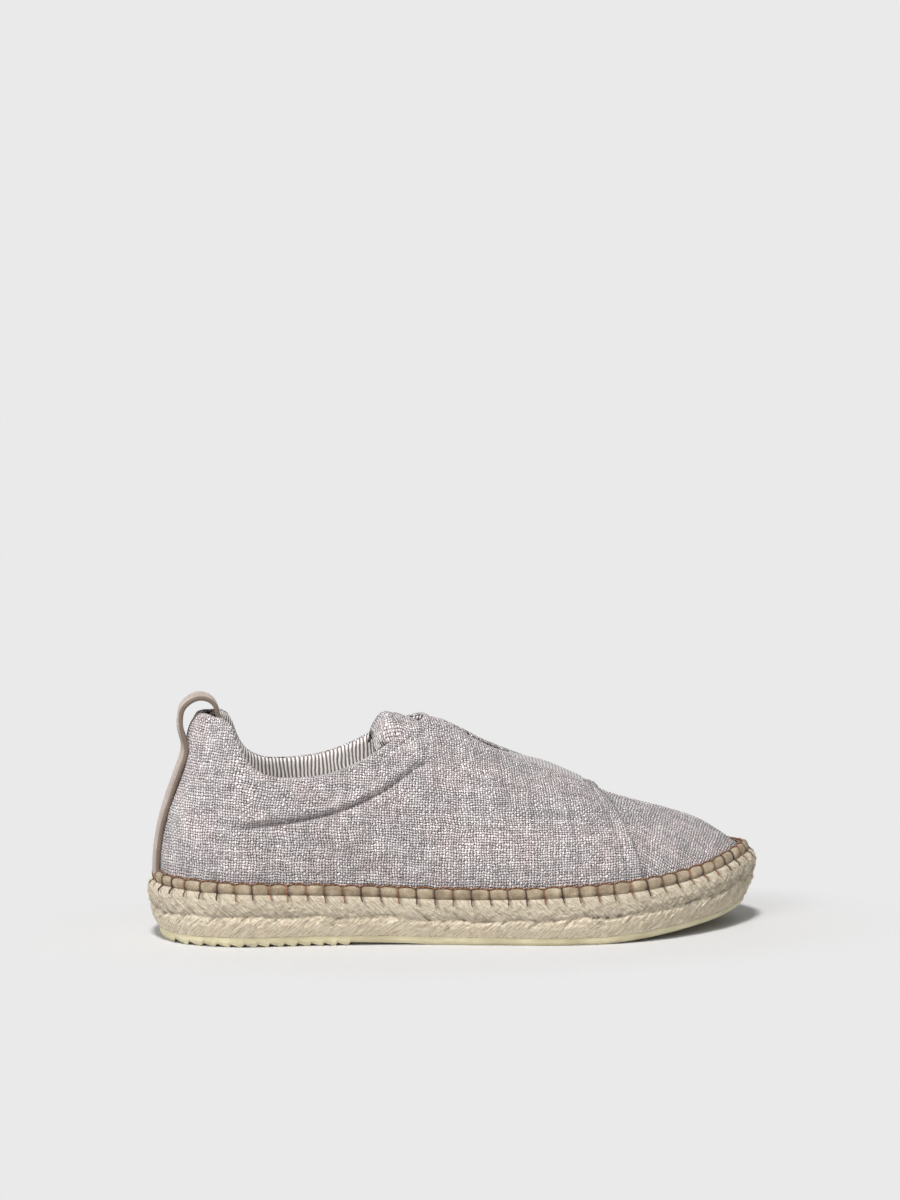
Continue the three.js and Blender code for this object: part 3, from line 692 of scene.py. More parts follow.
def folds(points, side):
    # How far the quarters' cloth swells or sinks, from their creases and from slack in the cloth.
    x, z = points[..., 0], points[..., 2]
    sink = np.zeros(x.shape)
    for line, depth, width, swell, lean in creases:
        gap, share = near_crease(line, points, side)
        ends = smooth(0, 0.22, share) * (1 - smooth(0.88, 1, share))
        trough = np.exp(-((gap / width) ** 2))
        above = np.exp(-(((gap - 2.6 * width) / (1.9 * width)) ** 2))
        below = np.exp(-(((gap + 2.4 * width) / (2.2 * width)) ** 2))
        sink += depth * ends * (swell * 0.55 * above + (0.2 * swell + lean) * below - trough)
    slack = 0.35 * noise(x / 14 + 3 * side, z / 19) + 0.13 * noise(x / 5 + 9 * side, z / 6 + 20)
    return sink + slack


quarter_columns = 320
quarter_rows = 90
front_edge = table("share foot", (0, 0.741), (0.3, 0.751), (0.65, 0.7585), (1, 0.757))
quarter_seat = 0.25
cloth_thickness = 1.0
fold_width, fold_height = 6.5, 0.9
pucker_pitch = 9.3
row_easing = 0.055
seam_line, dash_pitch = 0.65, 3.1
instep_start = 110


def slot_gap(points):
    # How far a point of the upper is outside the throat's edge, in plan.
    middle = column(throat_line, "x", "ridge", np.maximum(points[..., 0], 134))
    gap = np.abs(points[..., 1] - middle) - column(throat, "x", "half", points[..., 0])
    return np.where(points[..., 0] < throat["x"][0], 100, gap)


def quarter_top(feet, side):
    # The share v at which a quarter's top edge lies on each section: at the collar or at the throat's edge.
    shares = np.linspace(0.4, 1, 240)
    turn = feet if side < 0 else 2 - feet
    gaps = slot_gap(section(turn[:, None], shares[None, :]))
    inside = gaps < 0
    first = np.where(inside.any(1), inside.argmax(1), len(shares) - 1)
    before = np.maximum(first - 1, 0)
    rows = np.arange(len(feet))
    a, b = gaps[rows, before], gaps[rows, first]
    u = np.where(inside.any(1), a / np.maximum(a - b, 1e-6), 1)
    top = shares[before] + np.clip(u, 0, 1) * (shares[first] - shares[before])
    spread = np.exp(-((np.arange(-9, 10) / 4.5) ** 2))
    padded_top = np.concatenate([np.full(9, top[0]), top, np.full(9, top[-1])])
    softened = np.convolve(padded_top, spread / spread.sum(), mode="valid")
    corner = np.exp(-(((feet - 0.5) / 0.035) ** 2))
    return top * (1 - corner) + softened * corner


linen_turn = math.radians(88)
corner_foot, corner_reach = 0.515, 0.05
corner_lift = {-1: 3.0, 1: 0.2}
rim_rows = 7
bulge_depth, bulge_middle, bulge_reach = 3.9, 0.94, 0.14


def wall_thickness(turn, v):
    return wall + padding(foot_of(turn), v)


def rim(turn, v, outer, size, angles):
    # Rows of points that carry the top edge over the padding, from the outer face towards the lining.
    inner = form(turn, v, -wall_thickness(turn, v))
    upward = section(turn, v) - section(turn, v - 0.02)
    upward /= np.linalg.norm(upward, axis=-1)[..., None]
    middle = (outer + inner) / 2
    rise = 0.9 + 0.22 * np.linalg.norm(outer - inner, axis=-1)[..., None]
    return np.stack([
        middle + (outer - middle) * np.cos(a) * size + upward * rise * np.sin(a) * size for a in angles
    ])


def heel_bulge(v):
    # The padded back of the heel stands out under the collar.
    return bulge_depth * np.exp(-(((v - bulge_middle) / bulge_reach) ** 2))


def corner_share(feet):
    # How near a place is to the quarters' top corners, where the collar meets the throat.
    return np.exp(-(((feet - corner_foot) / corner_reach) ** 2))


def quarter(side):
    # Outer face, threads and marks of one quarter, from the heel's middle to the folded front edge.
    p = np.linspace(0, 1, quarter_columns)
    r = np.linspace(0, 1, quarter_rows)
    r = r - row_easing * np.sin(np.pi * r) * r
    grid_p, grid_r = np.meshgrid(p, r)
    feet = grid_p * column(front_edge, "share", "foot", grid_r)
    fine = np.linspace(0, 0.78, 700)
    tops = quarter_top(fine, side)
    v = grid_r * np.interp(feet, fine, tops)
    turn = feet if side < 0 else 2 - feet
    bare = section(turn, v)
    across = distances(bare, 0)
    to_top = across[-1:] - across
    run = distances(bare, 1)
    to_front = run[:, -1:] - run
    front_band = 1 - smooth(fold_width - 2.2, fold_width, to_front)
    throat_band = (1 - smooth(4.2, 6, to_top)) * smooth(0.5, 0.54, feet)
    swell = folds(bare, side) * smooth(3, 14, to_front) * smooth(1.5, 9, across) * smooth(0, 5, to_top + 2)
    pad = 1.1 * np.sin(np.pi * np.clip(to_top / 27, 0, 1)) ** 1.2
    pad = pad * (1 - smooth(0.44, 0.53, feet)) * smooth(0.1, 0.2, feet)
    puckers = 0.16 * np.sin(2 * np.pi * run / pucker_pitch + 1.5 * noise(run / 20, run * 0))
    puckers = puckers * np.exp(-(across / 7) ** 2)
    heel_puff = heel_bulge(v) * (1 - smooth(0.01, 0.11, feet))
    front_fold = fold_height * front_band * (1 - 0.7 * smooth(0.78, 1, grid_r))
    offset = quarter_seat + front_fold + 0.35 * throat_band + swell + pad + puckers + heel_puff
    raised = corner_lift[side] * np.exp(-((to_top / 11) ** 2)) * corner_share(feet)
    outer = form(turn, v, offset)
    outer[..., 2] += raised
    inner = form(turn, v, offset - cloth_thickness)
    inner[..., 2] += raised
    angles = np.linspace(0, linen_turn, rim_rows + 1)[1:]
    outer = np.concatenate([outer, rim(turn[-1], v[-1], outer[-1], 1.0, angles)])
    inner = np.concatenate([inner, rim(turn[-1], v[-1], outer[len(r) - 1], 0.62, angles)])
    flat_step = np.linalg.norm(np.diff(outer[..., :2], axis=1), axis=-1)
    run_flat = np.concatenate([np.zeros((len(outer), 1)), np.cumsum(flat_step, axis=1)], 1) + outer[:, :1, 0]
    climb = distances(outer, 0)
    turned = 0.05 * np.maximum(run_flat - instep_start, 0) ** 1.4 * (climb / 90) ** 2 * 0.5
    threads = np.stack([run_flat, climb + turned], -1)
    # The crease along the collar seam is darkened with painted shade, darker still in dashes where its
    # stitches lie.
    seam_gap, seam_share = near_crease(collar_seam, outer, side)
    seam = np.exp(-((seam_gap / seam_line) ** 2))
    seam = seam * smooth(0.1, 0.25, seam_share) * (1 - smooth(0.9, 1, seam_share))
    dashes = 0.4 + 0.6 * smooth(-0.2, 0.3, np.sin(2 * np.pi * run_flat / dash_pitch))
    # Painted shade darkens the cloth towards the tape.
    low_cloth = 0.22 * np.exp(-((climb / 10) ** 2))
    ahead = np.concatenate([to_front, np.repeat(to_front[-1:], rim_rows, 0)])
    # Painted shade along the folded front edge and just behind the folded band.
    band_shade = 0.42 * np.exp(-(((ahead - fold_width - 0.6) / 0.8) ** 2))
    band_shade = band_shade + 0.5 * np.exp(-((ahead / 0.7) ** 2))
    return outer, inner, threads, np.clip(0.7 * seam * dashes + low_cloth + band_shade, 0, 1)


def cloth_piece(name, outer, inner, threads, roll=0.5, **marks):
    # A closed sheet of cloth from the grids of its outer and inner faces, its edges rounded over.
    rows, columns = outer.shape[:2]
    edge = 0.5 * (outer + inner)
    count = rows * columns
    rim_index = np.concatenate([
        np.arange(columns), np.arange(1, rows) * columns + columns - 1,
        (rows - 1) * columns + np.arange(columns - 2, -1, -1), np.arange(rows - 2, 0, -1) * columns,
    ])
    flat_outer, flat_inner, flat_edge = outer.reshape(-1, 3), inner.reshape(-1, 3), edge.reshape(-1, 3)
    grid = np.arange(count).reshape(rows, columns)
    inner_rows = np.clip(np.arange(rows), 1, rows - 2)
    inner_columns = np.clip(np.arange(columns), 1, columns - 2)
    inward = grid[inner_rows][:, inner_columns].ravel()
    away = flat_edge[rim_index] - flat_edge[inward[rim_index]]
    away /= np.maximum(np.linalg.norm(away, axis=1), 1e-9)[:, None]
    rim = flat_edge[rim_index] + away * roll
    size = len(rim_index)
    rim_start = 2 * count
    k = np.arange(size)
    after = (k + 1) % size
    outer_rim = np.stack([rim_index[k], rim_start + k, rim_start + after, rim_index[after]], 1)
    inner_rim = np.stack([
        count + rim_index[after], rim_start + after, rim_start + k, count + rim_index[k],
    ], 1)
    faces = np.concatenate([grid_faces(rows, columns), grid_faces(rows, columns, start=count, flip=True),
                            outer_rim, inner_rim])
    flat_threads = np.asarray(threads).reshape(-1, 2)
    rim_threads = flat_threads[rim_index] + away[:, [0, 2]] * roll
    all_threads = np.concatenate([flat_threads, flat_threads, rim_threads])
    all_marks = {}
    for mark, values in marks.items():
        flat = np.broadcast_to(values, (rows, columns)).ravel()
        all_marks[mark] = np.concatenate([flat, flat, flat[rim_index]])
    points = np.concatenate([flat_outer, flat_inner, rim])
    return piece(name, points, faces, all_threads, weld=0.02, **all_marks)


weave, start, end = new_group(
    "plain weave",
    {"Threads": ("vector", None), "Pitch": ("value", 1.27)},
    {"Tone": "value", "Height": "value", "Gap shade": "value", "Warmth": "value"},
)
shaken = start["Threads"]
for scale, detail, reach in ((0.11, 2.0, 2.5), (0.9, 1.0, 0.95)):
    # The yarns wander, first in long waves and then in short ones.
    drift = texture(weave, start["Threads"], scale, detail, 0.5, colour=True)
    steps = (("SUBTRACT", {1: (0.5, 0.5, 0.5)}), ("SCALE", {"Scale": reach}), ("ADD", {1: shaken}))
    for operation, inputs in steps:
        drift = node(weave, "ShaderNodeVectorMath", {0: drift, **inputs}, operation=operation).outputs[0]
    shaken = drift
along = node(weave, "ShaderNodeSeparateXYZ", {0: shaken}).outputs
counts = [calc(weave, "DIVIDE", along[k], start["Pitch"]) for k in (0, 1)]
which = [calc(weave, "FLOOR", counts[k]) for k in (0, 1)]
inside = [calc(weave, "SUBTRACT", counts[k], which[k]) for k in (0, 1)]
parity = calc(weave, "FLOORED_MODULO", calc(weave, "ADD", which[0], which[1]), 2.0)
bulge = []
tones = []
for k in (0, 1):
    # Yarn k lies across axis k. Its width swells along its length, and its colour changes by the centimetre.
    other = 1 - k
    slub = texture(weave, stretched(weave, which[k], 3.7, counts[other], 0.22, 5.0 * k), 1.0, 1.0)
    width = calc(weave, "ADD", 0.84, calc(weave, "MULTIPLY", calc(weave, "SUBTRACT", slub, 0.5), 0.85))
    offset = calc(weave, "ABSOLUTE", calc(weave, "SUBTRACT", inside[k], 0.5))
    share = calc(weave, "DIVIDE", calc(weave, "MULTIPLY", offset, 2.0), width)
    profile = calc(weave, "SUBTRACT", 1.0, calc(weave, "MULTIPLY", share, share), clamp=True)
    profile = calc(weave, "SQRT", profile)
    leaning = calc(weave, "MULTIPLY", calc(weave, "SUBTRACT", inside[k], 0.5), 0.62)
    crown = calc(weave, "MULTIPLY", calc(weave, "SUBTRACT", inside[other], leaning), math.pi)
    crown = calc(weave, "SINE", crown, clamp=True)
    lies = parity if k else calc(weave, "SUBTRACT", 1.0, parity)
    signed = calc(weave, "SUBTRACT", calc(weave, "MULTIPLY", lies, 2.0), 1.0)
    lift = calc(weave, "MULTIPLY", signed, calc(weave, "POWER", crown, 0.6))
    lift = calc(weave, "ADD", 0.55, calc(weave, "MULTIPLY", lift, 0.42))
    bulge.append(calc(weave, "MULTIPLY", profile, lift))
    dye_place = stretched(weave, which[k], 5.3, counts[other], 0.09, 9.0 + k)
    tones.append(texture(weave, dye_place, 1.0, 2.0, 0.65))
height = calc(weave, "MAXIMUM", bulge[0], bulge[1])
first_up = calc(weave, "GREATER_THAN", bulge[0], bulge[1])
tone = calc(weave, "ADD", calc(weave, "MULTIPLY", first_up, tones[0]),
            calc(weave, "MULTIPLY", calc(weave, "SUBTRACT", 1.0, first_up), tones[1]))
hairs = texture(weave, stretched(weave, counts[0], 2.3, counts[1], 2.3), 1.0, 4.0, 0.7)
tone = calc(weave, "ADD", calc(weave, "MULTIPLY", tone, 0.38), calc(weave, "MULTIPLY", hairs, 0.62))
tone = calc(weave, "ADD", tone, calc(weave, "MULTIPLY", calc(weave, "SUBTRACT", first_up, 0.5), 0.035))
join(weave, tone, end["Tone"])
join(weave, calc(weave, "ADD", height, calc(weave, "MULTIPLY", hairs, 0.16)), end["Height"])
# Gap shade is where the colour goes dark between the yarns: painted shade.
join(weave, between(weave, height, 0.62, 0.34), end["Gap shade"])
join(weave, texture(weave, start["Threads"], 0.055, 3.0, 0.6), end["Warmth"])


yarn_pitch = 1.27


def linen(name, light, turned=0.0):
    # Linen of one lightness, its yarns turned by some degrees.
    made, tree, shader = material(name, roughness=0.95, specular=0.12, sheen=0.25)
    lie = node(tree, "ShaderNodeVectorRotate", {"Vector": threads_of(tree), "Angle": math.radians(turned)},
               rotation_type="Z_AXIS").outputs[0]
    lie_parts = node(tree, "ShaderNodeSeparateXYZ", {0: lie}).outputs
    cloth = use(tree, weave, {"Threads": lie, "Pitch": yarn_pitch})
    dark, mid, pale = [tuple(light * c for c in rgb) for rgb in
                       ((0.16, 0.145, 0.145), (0.52, 0.475, 0.475), (0.96, 0.915, 0.91))]
    tone = between(tree, cloth["Tone"], 0.35, 0.65)
    tint = ramp(tree, tone, (0.0, dark), (0.38, mid), (0.8, pale), (1.0, pale))
    warm = ramp(tree, cloth["Warmth"], (0.38, (0.975, 0.98, 0.98)), (0.5, (1.0, 0.98, 0.98)),
                (0.62, (1.04, 0.97, 0.975)))
    tint = blend(tree, 1.0, tint, warm, "MULTIPLY")
    brightness = use(tree, patches, {"Threads": lie, "Size": 19.0, "Strength": 0.3})["Shade"]
    tint = dimmed(tree, tint, brightness)
    streaks = [texture(tree, stretched(tree, lie_parts[0], a, lie_parts[1], b), 1.0, 2.0, 0.6)
               for a, b in ((0.22, 0.022), (0.02, 0.2))]
    streak = calc(tree, "ADD", 0.42, calc(tree, "MULTIPLY", calc(tree, "ADD", *streaks), 0.58))
    tint = dimmed(tree, tint, streak)
    # The gaps between the yarns are painted near black: painted shade.
    tint = blend(tree, cloth["Gap shade"], tint, (0.06, 0.05, 0.052, 1))
    tint = blend(tree, mark_of(tree, "shade"), tint, (0.1, 0.085, 0.085, 1))
    join(tree, tint, shader["Base Color"])
    relief(tree, shader, cloth["Height"], 1.0)
    return made


quarter_linen = linen("quarter linen", 1.0)
for side, name in ((-1, "quarter_lateral"), (1, "quarter_medial")):
    outer, inner, threads, shade = quarter(side)
    if side > 0:
        outer, inner, threads, shade = outer[:, ::-1], inner[:, ::-1], threads[:, ::-1], shade[:, ::-1]
    cloth = cloth_piece(name, outer, inner, threads, shade=shade)
    cloth.data.materials.append(quarter_linen)
    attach(cloth, "root")
    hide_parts("upper")

# --------------------------------------------------------------------------------------------- vamp
# The linen over the toes, cut in one piece and drawn over the last. Its foot is caught under the tape, and
# its back edge lies under the quarters' folded fronts.
vamp_start = 0.685
vamp_depth = 1.45
vamp_rows = 90
vamp_columns = 130
vamp_middle, vamp_crest = np.array([226.0, 8.5]), 60.0
lap_shade, lap_reach = 0.92, 1.2
s = np.linspace(-1, 1, 2 * vamp_rows + 1)
p = np.linspace(0, 1, vamp_columns)
grid_p, grid_s = np.meshgrid(p, s)
feet = vamp_start + (1 - vamp_start) * grid_p
lap_gap = (feet - column(front_edge, "share", "foot", 1 - np.abs(grid_s))) * outline_toe
turn = np.where(grid_s <= 0, feet, 2 - feet)
v = 1 - np.abs(grid_s)
bare = section(turn, v)
wrinkles = 0.18 * noise(bare[..., 0] / 13, bare[..., 1] / 17 + 50)
wrinkles = wrinkles + 0.06 * noise(bare[..., 0] / 4, bare[..., 1] / 5)
pinch = 0.14 * np.sin(2 * np.pi * bare[..., 0] / 8.7) * np.exp(-(v / 0.1) ** 2)
offset = -vamp_depth + 0.5 * smooth(0.71, 0.74, feet) + 0.2 * smooth(0.76, 0.8, feet) + wrinkles + pinch
outer = form(turn, v, offset)
plan = outer[..., :2] - vamp_middle
flat = np.linalg.norm(plan, axis=-1)
reach = np.sqrt(flat**2 + (outer[..., 2] - vamp_crest) ** 2 * smooth(0, 30, flat))
threads = plan * (reach / np.maximum(flat, 1e-3))[..., None] + vamp_middle
vamp = cloth_piece("vamp", outer, form(turn, v, offset - cloth_thickness), threads, roll=0.2,
                   shade=lap_shade * np.exp(-((lap_gap / lap_reach) ** 2)))
vamp.data.materials.append(linen("vamp linen", 0.93, turned=14.0))
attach(vamp, "root")
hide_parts("upper")

# ------------------------------------------------------------------------------------------- lining
# Striped cotton ticking inside the quarters and vamp, its stripes running up to the collar's rolled edge.
# There it covers a foam pad about 3 mm thick that stops short of the throat.
lining_columns = 300
lining_rows = 38
lining_end = 0.985
lining_thickness = 0.35
stripe_pitch = 1.85
p = np.linspace(0, 1, lining_columns)
r = np.linspace(0, 1, lining_rows)


def lining_side(side):
    # Both faces and the threads of one half of the lining, from the heel's middle to the toe.
    fine = np.linspace(0, lining_end, 500)
    tops = quarter_top(fine, side)
    grid_p, grid_r = np.meshgrid(p, r)
    feet = grid_p * lining_end
    turn = feet if side < 0 else 2 - feet
    over = np.interp(feet, fine, tops) * np.where(feet > 0.76, 1, 0.995)
    v = 0.02 + grid_r * (over - 0.02)
    depth = wall_thickness(turn, v) + 1.0 * smooth(0.64, 0.7, feet)
    puff = 0.9 * np.sin(np.pi * np.clip((v - 0.6) / 0.4, 0, 1)) * (1 - smooth(0.42, 0.54, feet))
    ripple = 0.12 * noise(feet * 60, v * 9 + 30)
    inner = form(turn, v, -depth - puff - ripple)
    outer = form(turn, v, -depth + lining_thickness)
    raised = corner_lift[side] * smooth(0.75, 1, grid_r) * corner_share(feet)
    inner[..., 2] += raised
    outer[..., 2] += raised
    edge = form(turn[-1], v[-1], 0.3)
    edge[..., 2] += raised[-1]
    angles = np.pi - np.linspace(0, np.pi - linen_turn - 0.05, 9)[1:]
    inner = np.concatenate([inner, rim(turn[-1], v[-1], edge, 0.96, angles)])
    outer = np.concatenate([outer, rim(turn[-1], v[-1], edge, 0.7, angles)])
    run = distances(inner, 1)[len(r) * 4 // 5][None, :] + 0 * inner[..., 0]
    return outer, inner, np.stack([run, distances(inner, 0)], -1)


ticking, tree, shader = material("ticking", roughness=0.9, specular=0.15, sheen=0.2)
lie = node(tree, "ShaderNodeSeparateXYZ", {0: threads_of(tree)}).outputs
waver = calc(tree, "MULTIPLY", calc(tree, "SUBTRACT", texture(tree, threads_of(tree), 0.12, 1.0), 0.5), 1.6)
stripe = calc(tree, "MULTIPLY", calc(tree, "ADD", lie[0], waver), 2 * math.pi / stripe_pitch)
stripe = calc(tree, "SINE", stripe)
fray = texture(tree, stretched(tree, lie[0], 3.0, lie[1], 1.4), 1.0, 3.0, 0.7)
stripe = calc(tree, "ADD", stripe, calc(tree, "MULTIPLY", calc(tree, "SUBTRACT", fray, 0.5), 0.9))
tint = ramp(tree, between(tree, stripe, -0.35, 0.3), (0.0, (0.2, 0.16, 0.145)), (1.0, (0.96, 0.93, 0.91)))
join(tree, tint, shader["Base Color"])
fine_weave = use(tree, weave, {"Threads": threads_of(tree), "Pitch": 0.5})
relief(tree, shader, calc(tree, "ADD", fine_weave["Height"], calc(tree, "MULTIPLY", stripe, 0.5)), 0.14)
for side, name in ((-1, "lining_lateral"), (1, "lining_medial")):
    outer, inner, threads = lining_side(side)
    if side > 0:
        outer, inner, threads = outer[:, ::-1], inner[:, ::-1], threads[:, ::-1]
    cloth = cloth_piece(name, outer, inner, threads, roll=0.2)
    cloth.data.materials.append(ticking)
    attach(cloth, "root")
    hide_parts("upper")

# ------------------------------------------------------------------------------------------- insole
# A foam board covered in plain canvas, dished under the heel and ball. Its cover is stitched down near the
# edge.
insole_height = 4.0
insole_inset, insole_gap = 2.9, 0.35
seam_inset, seam_width = 4.5, 0.7
dishes = ((1.1, 40, 26), (0.8, 205, 30))
insole_columns = 320
insole_across = 40
reach_samples = np.linspace(0, 0.6, 80)


def share_at(turn, height):
    # The share v at which each section of the upper is some distance up from the jute.
    turn, height = np.broadcast_arrays(np.asarray(turn, float), np.asarray(height, float))
    flat_turn, flat_height = turn.ravel(), height.ravel()
    unique, back = np.unique(flat_turn, return_inverse=True)
    lines = section(unique[:, None], reach_samples[None, :])
    lengths = distances(lines, 1)
    found = np.empty(len(flat_turn))
    for k in range(len(flat_turn)):
        found[k] = np.interp(flat_height[k], lengths[back[k]], reach_samples)
    return found.reshape(turn.shape)


half_columns = insole_columns // 2
i = np.arange(half_columns + 1)
turns = np.arange(insole_columns) * 2 / insole_columns
edge_ring = form(turns, share_at(turns, insole_height * 0.8), -insole_inset)
shares = np.linspace(0, 1, insole_across + 1)[:, None]
across_x = edge_ring[i, 0] * (1 - shares) + edge_ring[-i % insole_columns, 0] * shares
across_y = edge_ring[i, 1] * (1 - shares) + edge_ring[-i % insole_columns, 1] * shares
from_edge = np.minimum(shares, 1 - shares) * np.abs(edge_ring[i, 1] - edge_ring[-i % insole_columns, 1])
from_ends = np.minimum(across_x - edge_ring[:, 0].min(), edge_ring[:, 0].max() - across_x)
from_edge = np.minimum(from_edge, from_ends)
rounding = 1.2 * np.exp(-from_edge / 0.9)
seam = np.exp(-(((from_edge - seam_inset) / seam_width) ** 2))
cradle = sum(depth * np.exp(-(((across_x - at) / reach) ** 2)) for depth, at, reach in dishes)
level = sole("jute", across_x) + upper_gap + insole_height
top = level - rounding - 0.5 * seam - cradle * smooth(3, 18, from_edge)
top = top + 0.1 * noise(across_x / 9, across_y / 9)
outer = np.stack([across_x, across_y, top], -1)
inner = np.stack([across_x, across_y, sole("jute", across_x) + insole_gap], -1)
insole = cloth_piece("insole_board", outer[:, ::-1], inner[:, ::-1], outer[:, ::-1, :2], roll=0.1,
                     shade=(0.35 * seam)[:, ::-1])
canvas, tree, shader = material("canvas", roughness=0.9, specular=0.15, sheen=0.1)
cloth = use(tree, weave, {"Threads": threads_of(tree), "Pitch": 0.8})
tint = ramp(tree, between(tree, cloth["Tone"], 0.3, 0.7), (0.0, (0.5, 0.42, 0.33)), (1.0, (0.8, 0.73, 0.63)))
# The gaps between the yarns are painted darker: painted shade.
tint = blend(tree, calc(tree, "MULTIPLY", cloth["Gap shade"], 0.5), tint, (0.25, 0.2, 0.15, 1))
tint = blend(tree, mark_of(tree, "shade"), tint, (0.2, 0.15, 0.1, 1))
join(tree, tint, shader["Base Color"])
relief(tree, shader, cloth["Height"], 0.3)
insole.data.materials.append(canvas)
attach(insole, "root")
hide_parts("insole")

# ---------------------------------------------------------------------------------------- welt tape
# Narrow cotton tape folded round the foot of the upper. Blanket stitches every 8 mm hold it down to the jute,
# so it stands up in pillows between them.
tape_height, tape_thickness, tape_gap = 4.2, 2.5, 0.2
tape_section = table("height out", (0, 0.7), (0.25, 0.92), (0.5, 1), (0.8, 0.9), (0.95, 0.6), (1, 0.3))
tape_columns = 1200
tape_sag, tape_plump, pillow_rise = 0.42, 0.22, 0.35
toe_dip, toe_dip_turn, toe_dip_reach = 1.5, 1.05, 0.06
heel_rise, heel_rise_reach = 1.2, 0.035


def pillow(length):
    # 0 at a stitch and 1 halfway to the next.
    phase = np.abs(stitch_phase(length)) / (stitch_pitch / 2)
    return 1 - (1 - np.clip(phase, 0, 1)) ** 2.6


def tape_surface(turn, height, raised=0.0):
    # A point of the tape's outer face at a share of its height.
    length = length_at(turn)
    foot = foot_of(turn)
    puffed = pillow(length)
    strength = 0.45 + 0.55 * smooth(0.72, 0.95, foot)
    sag = 1 - strength * tape_sag * (1 - puffed)
    which = np.floor(length * stitch_count / outline_round)
    plump = 1 + tape_plump * noise(which * 7.31, 17 + 0 * length) * puffed
    wave = 0.12 * noise(length / 6, 11 + 0 * length) + 0.16 * noise(length / 2.2, height * 2 + 4)
    out = column(tape_section, "height", "out", height) * tape_thickness * sag * plump
    out = out + tape_gap + wave * np.sin(np.pi * height) + raised
    around = np.mod(turn, 2)
    at_toe = np.exp(-(((around - toe_dip_turn) / toe_dip_reach) ** 2))
    at_heel = np.exp(-((np.minimum(around, 2 - around) / heel_rise_reach) ** 2))
    lift = (tape_height + pillow_rise * puffed - toe_dip * at_toe + heel_rise * at_heel) * height - 0.15
    point = form(turn, share_at(turn, np.maximum(lift, 0)), out)
    base = sole("jute", point[..., 0]) + 0.1
    point[..., 2] = np.where(height <= 0, np.minimum(point[..., 2], base - 0.3), point[..., 2])
    return point


turns = np.arange(tape_columns) * 2 / tape_columns
heights = np.concatenate([[0, 0.05], np.linspace(0.15, 0.95, 15), [0.985, 1]])
grid_turn, grid_height = np.meshgrid(turns, heights)
outer = tape_surface(grid_turn, grid_height)
back_turn, back_height = np.meshgrid(turns, [1.0, 0.5, 0.0])
back = form(back_turn, share_at(back_turn, back_height * tape_height), 0.05)
rings = np.concatenate([outer, back, outer[:1]])
length = length_at(np.concatenate([grid_turn, back_turn, grid_turn[:1]]))
along_tape = distances(rings, 0)
# Painted shade in the pinches between the pillows, deepest in the notches along the tape's lower edge.
tape_pinch = 1 - pillow(length)
notch_shade = 0.75 * tape_pinch**1.3 * np.exp(-((along_tape / 1.7) ** 2))
tape_faces = grid_faces(len(rings), tape_columns, closed=True)
tape = piece("tape", rings, tape_faces, np.stack([length, along_tape], -1), weld=0.01,
             shade=np.clip(0.85 * tape_pinch**2.4 + notch_shade, 0, 1))
tape_cloth, tree, shader = material("cotton tape", roughness=0.88, specular=0.2, sheen=0.2)
lie = node(tree, "ShaderNodeSeparateXYZ", {0: threads_of(tree)}).outputs
diagonal = calc(tree, "ADD", lie[0], calc(tree, "MULTIPLY", lie[1], 1.0))
twill = calc(tree, "SINE", calc(tree, "MULTIPLY", diagonal, 2 * math.pi / 0.8))
fuzz = texture(tree, threads_of(tree), 2.6, 4.0, 0.7)
wear = texture(tree, threads_of(tree), 0.13, 3.0, 0.6)
tone = calc(tree, "ADD", calc(tree, "MULTIPLY", fuzz, 0.95), calc(tree, "MULTIPLY", wear, 0.6))
tint = ramp(tree, between(tree, tone, 0.62, 0.94), (0.0, (0.23, 0.16, 0.09)), (0.5, (0.54, 0.42, 0.275)),
            (1.0, (0.86, 0.73, 0.53)))
tint = blend(tree, mark_of(tree, "shade"), tint, (0.09, 0.055, 0.035, 1))
join(tree, tint, shader["Base Color"])
relief(tree, shader, calc(tree, "ADD", calc(tree, "MULTIPLY", twill, 0.25), fuzz), 0.9)
tape.data.materials.append(tape_cloth)
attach(tape, "root")
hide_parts("welt_tape")

# ----------------------------------------------------------------------------------- blanket stitches
# Waxed brown thread. Each stitch comes over the tape and dives into the jute; the running thread links their
# heads along the tape's top edge in shallow scallops.
thread_radius = 0.34
thread_sides = 6
stitch_samples = 26
jute_height = 18.0


def tube(path, radius, closed=False, sides=thread_sides):
    # Rings of points round a path, with coordinates along and round it.
    if closed:
        ahead = np.roll(path, -1, 0) - np.roll(path, 1, 0)
    else:
        ahead = np.gradient(path, axis=0)
    ahead /= np.linalg.norm(ahead, axis=1)[:, None]
    side = np.cross(ahead, [0.0, 0.0, 1.0])
    weak = np.linalg.norm(side, axis=1) < 0.2
    side[weak] = np.cross(ahead[weak], [1.0, 0.0, 0.0])
    side /= np.linalg.norm(side, axis=1)[:, None]
    over = np.cross(side, ahead)
    angle = np.arange(sides) * 2 * np.pi / sides
    radius = np.broadcast_to(radius, len(path))[:, None, None]
    points = path[:, None] + radius * (np.cos(angle)[None, :, None] * side[:, None]
                                       + np.sin(angle)[None, :, None] * over[:, None])
    length = np.concatenate([[0], np.cumsum(np.linalg.norm(np.diff(path, axis=0), axis=1))])
    threads = np.stack(np.broadcast_arrays(length[:, None], (angle / (2 * np.pi))[None, :]), -1)
    return points, threads


